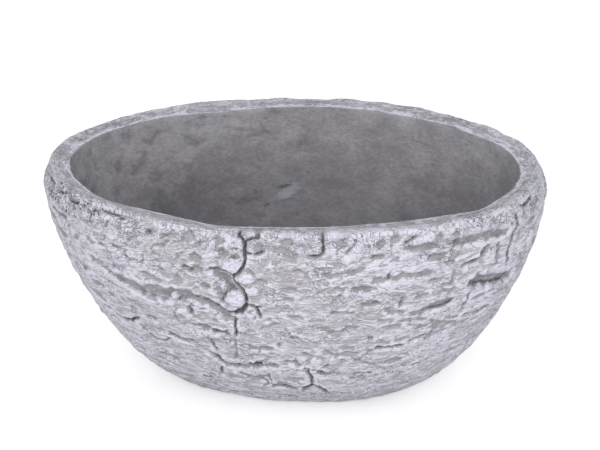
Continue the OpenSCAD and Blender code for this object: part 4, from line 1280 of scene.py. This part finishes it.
# %% [markdown]
# ## Rubber and felt
# The plug is black rubber with cement dust on it, and the pads are pressed grey wool. Plain
# colours would do from afar. Close up, dust lies in clouds and is rougher than clean rubber,
# so it is taken from the cement group that is there already. Felt is a tangle of strands:
# narrow bands of a twisted noise, which also raise the surface a little.

# %% Rubber
rubber, tree, shader = new_material("dusty_rubber")
place = node(tree, "ShaderNodeTexCoord").outputs["Object"]
dust = use_group(tree, cement, Vector=place)["Tone"]
chalky = times(tree, step(tree, dust, 0.46, 0.66), 0.45)
black = mix_colour(tree, chalky, srgb(62, 62, 64), srgb(146, 145, 149))
tree.links.new(black, shader.inputs["Base Color"])
tree.links.new(step(tree, dust, 0.4, 0.6, 0.5, 0.82), shader.inputs["Roughness"])
bump_from(tree, shader, clouds(tree, place, 0.5 * MM, 2), 0.05 * MM)
print(rubber.name, "nodes:", len(tree.nodes))

# %% Felt
felt, tree, shader = new_material("pressed_felt")
place = node(tree, "ShaderNodeTexCoord").outputs["Object"]
fibres = calc(tree, "ABSOLUTE", calc(tree, "SUBTRACT", clouds(tree, place, 1.1 * MM, 4, 3.0), 0.5))
strand = step(tree, fibres, 0.0, 0.07, 1, 0)
tuft = clouds(tree, place, 3 * MM, 2)
wool = mix_colour(tree, step(tree, tuft, 0.35, 0.65), srgb(128, 126, 124), srgb(164, 162, 159))
wool = mix_colour(tree, times(tree, strand, 0.4), wool, srgb(204, 202, 198))
tree.links.new(wool, shader.inputs["Base Color"])
shader.inputs["Roughness"].default_value = 0.95
shader.inputs["Sheen Weight"].default_value = 0.3
bump_from(tree, shader, calc(tree, "MULTIPLY_ADD", strand, 0.6, tuft), 0.3 * MM)
print(felt.name, "nodes:", len(tree.nodes))

# %% [markdown]
# ## Plug and pads
# A rubber bung closes the drain hole while the bowl stands indoors, and four felt pads keep the
# cement off a table. Both are moulded or cut round, so each is a profile carried round an axis:
# a lathe, as numpy arrays. The profile is a chain of corners, and every corner is rounded by a
# short arc, which catches the light as a moulded edge does. A bevel modifier would do it too.

# %% Rounded profiles
def rounded_profile(corners, steps=5):
    """(radius, height) points of a chain of corners (radius, height, rounding): each corner is
    replaced by a curve from one side to the other, (1-t)^2 a + 2t(1-t) corner + t^2 b."""
    corners = np.array(corners, float)
    line = [corners[0, :2]]
    for before, corner, after in zip(corners[:-2], corners[1:-1], corners[2:]):
        sides = [end[:2] - corner[:2] for end in (before, after)]
        a, b = (corner[:2] + side * min(0.45, corner[2] / np.linalg.norm(side)) for side in sides)
        t = np.linspace(0, 1, steps)[:, None]
        line += list((1 - t) ** 2 * a + 2 * t * (1 - t) * corner[:2] + t ** 2 * b)
    return np.array(line + [corners[-1, :2]])


square = rounded_profile([(0, 0, 0), (1, 0, 0.3), (1, 1, 0)])
print("a square corner, rounded:", square[1:-1].round(2).tolist())


# %% Turned pieces
def lathe(profile, segments, fuzz):
    """Points and triangles of a closed lathe form. The profile starts and ends on the axis, and
    runs up the outside. fuzz moves each point of the side in or out by noise, in metres."""
    turn = 2 * np.pi * np.arange(segments) / segments
    ring_points = np.stack([np.sin(turn), -np.cos(turn), np.zeros(segments)], -1)
    radius, height = profile[1:-1, 0, None, None], profile[1:-1, 1, None, None]
    sides = radius * ring_points + height * np.array([0, 0, 1.0])
    away = fuzz * noise(sides / (1.5 * MM) + 7, 130)[..., None] * ring_points
    sides = sides + away * (profile[1:-1, 0] > 0.7 * profile[:, 0].max())[:, None, None]
    ends = np.array([[0, 0, profile[0, 1]], [0, 0, profile[-1, 1]]])
    n, m = len(sides), segments
    i, k = np.meshgrid(np.arange(m), np.arange(n - 1))
    a, b, c, d = k * m + i, k * m + (i + 1) % m, (k + 1) * m + (i + 1) % m, (k + 1) * m + i
    walls = np.stack([a.ravel(), b.ravel(), c.ravel(), a.ravel(), c.ravel(), d.ravel()], 1).reshape(-1, 3)
    i, last = np.arange(m), (n - 1) * m
    lower = np.stack([np.full(m, n * m), (i + 1) % m, i], 1)
    upper = np.stack([np.full(m, n * m + 1), last + i, last + (i + 1) % m], 1)
    return np.concatenate([sides.reshape(-1, 3), ends]), np.concatenate([walls, lower, upper])


def turned(name, corners, centre, segments, fuzz, body, node_name, material):
    """A lathe piece of the scene, which rides on a body in place of a solid."""
    shape, triangles = lathe(rounded_profile(corners) * MM, segments, fuzz)
    mesh = bpy.data.meshes.new(name)
    mesh.from_pydata(shape + centre, [], triangles)
    mesh.shade_smooth()
    mesh.materials.append(material)
    piece = placed(name, mesh)
    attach(piece, body)
    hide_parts(node_name)
    print(name, len(mesh.polygons), "faces")


print("the rounded corner, turned:", len(lathe(square, 8, 0.0)[1]), "triangles")

# %% Plug
# Up from the tip: the tip, the taper, the flange that lies on the floor, and a crown with a groove
# and a shallow dish. Radius, height and rounding in millimetres.
low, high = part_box("drain_plug")
tip, crown, wide = low.z / MM, high.z / MM, (high.x - low.x) / 2 / MM
seat = cavity_z / MM + 0.05
turned("rubber_plug",
       [(0, tip + 0.5, 0), (6.2, tip + 0.5, 0.6), (6.8, tip, 0.6), (8.95, tip, 1.0), (10.45, seat, 0.1),
        (wide, seat, 0.5), (wide, crown, 1.4), (12.4, crown, 0.4), (12.0, crown - 0.5, 0.4),
        (11.2, crown - 0.5, 0.4), (10.8, crown, 0.5), (8.6, crown, 2.0), (5.0, crown - 1.1, 3.0),
        (0, crown - 1.2, 0)],
       (0, 0, 0), 96, 0.0, "plug", "drain_plug", rubber)

# %% Pads
PAD_FUZZ = 0.12 * MM
for number in range(1, 5):
    low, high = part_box(f"foot_pad_{number}")
    pad_r, pad_t = (high.x - low.x) / 2 / MM, (high.z - low.z) / MM
    turned(f"felt_pad_{number}", [(0, 0, 0), (pad_r, 0, 0.5), (pad_r - 0.05, pad_t, 0.35), (0, pad_t, 0)],
           ((low.x + high.x) / 2, (low.y + high.y) / 2, low.z), 120, PAD_FUZZ,
           "bowl", f"foot_pad_{number}", felt)
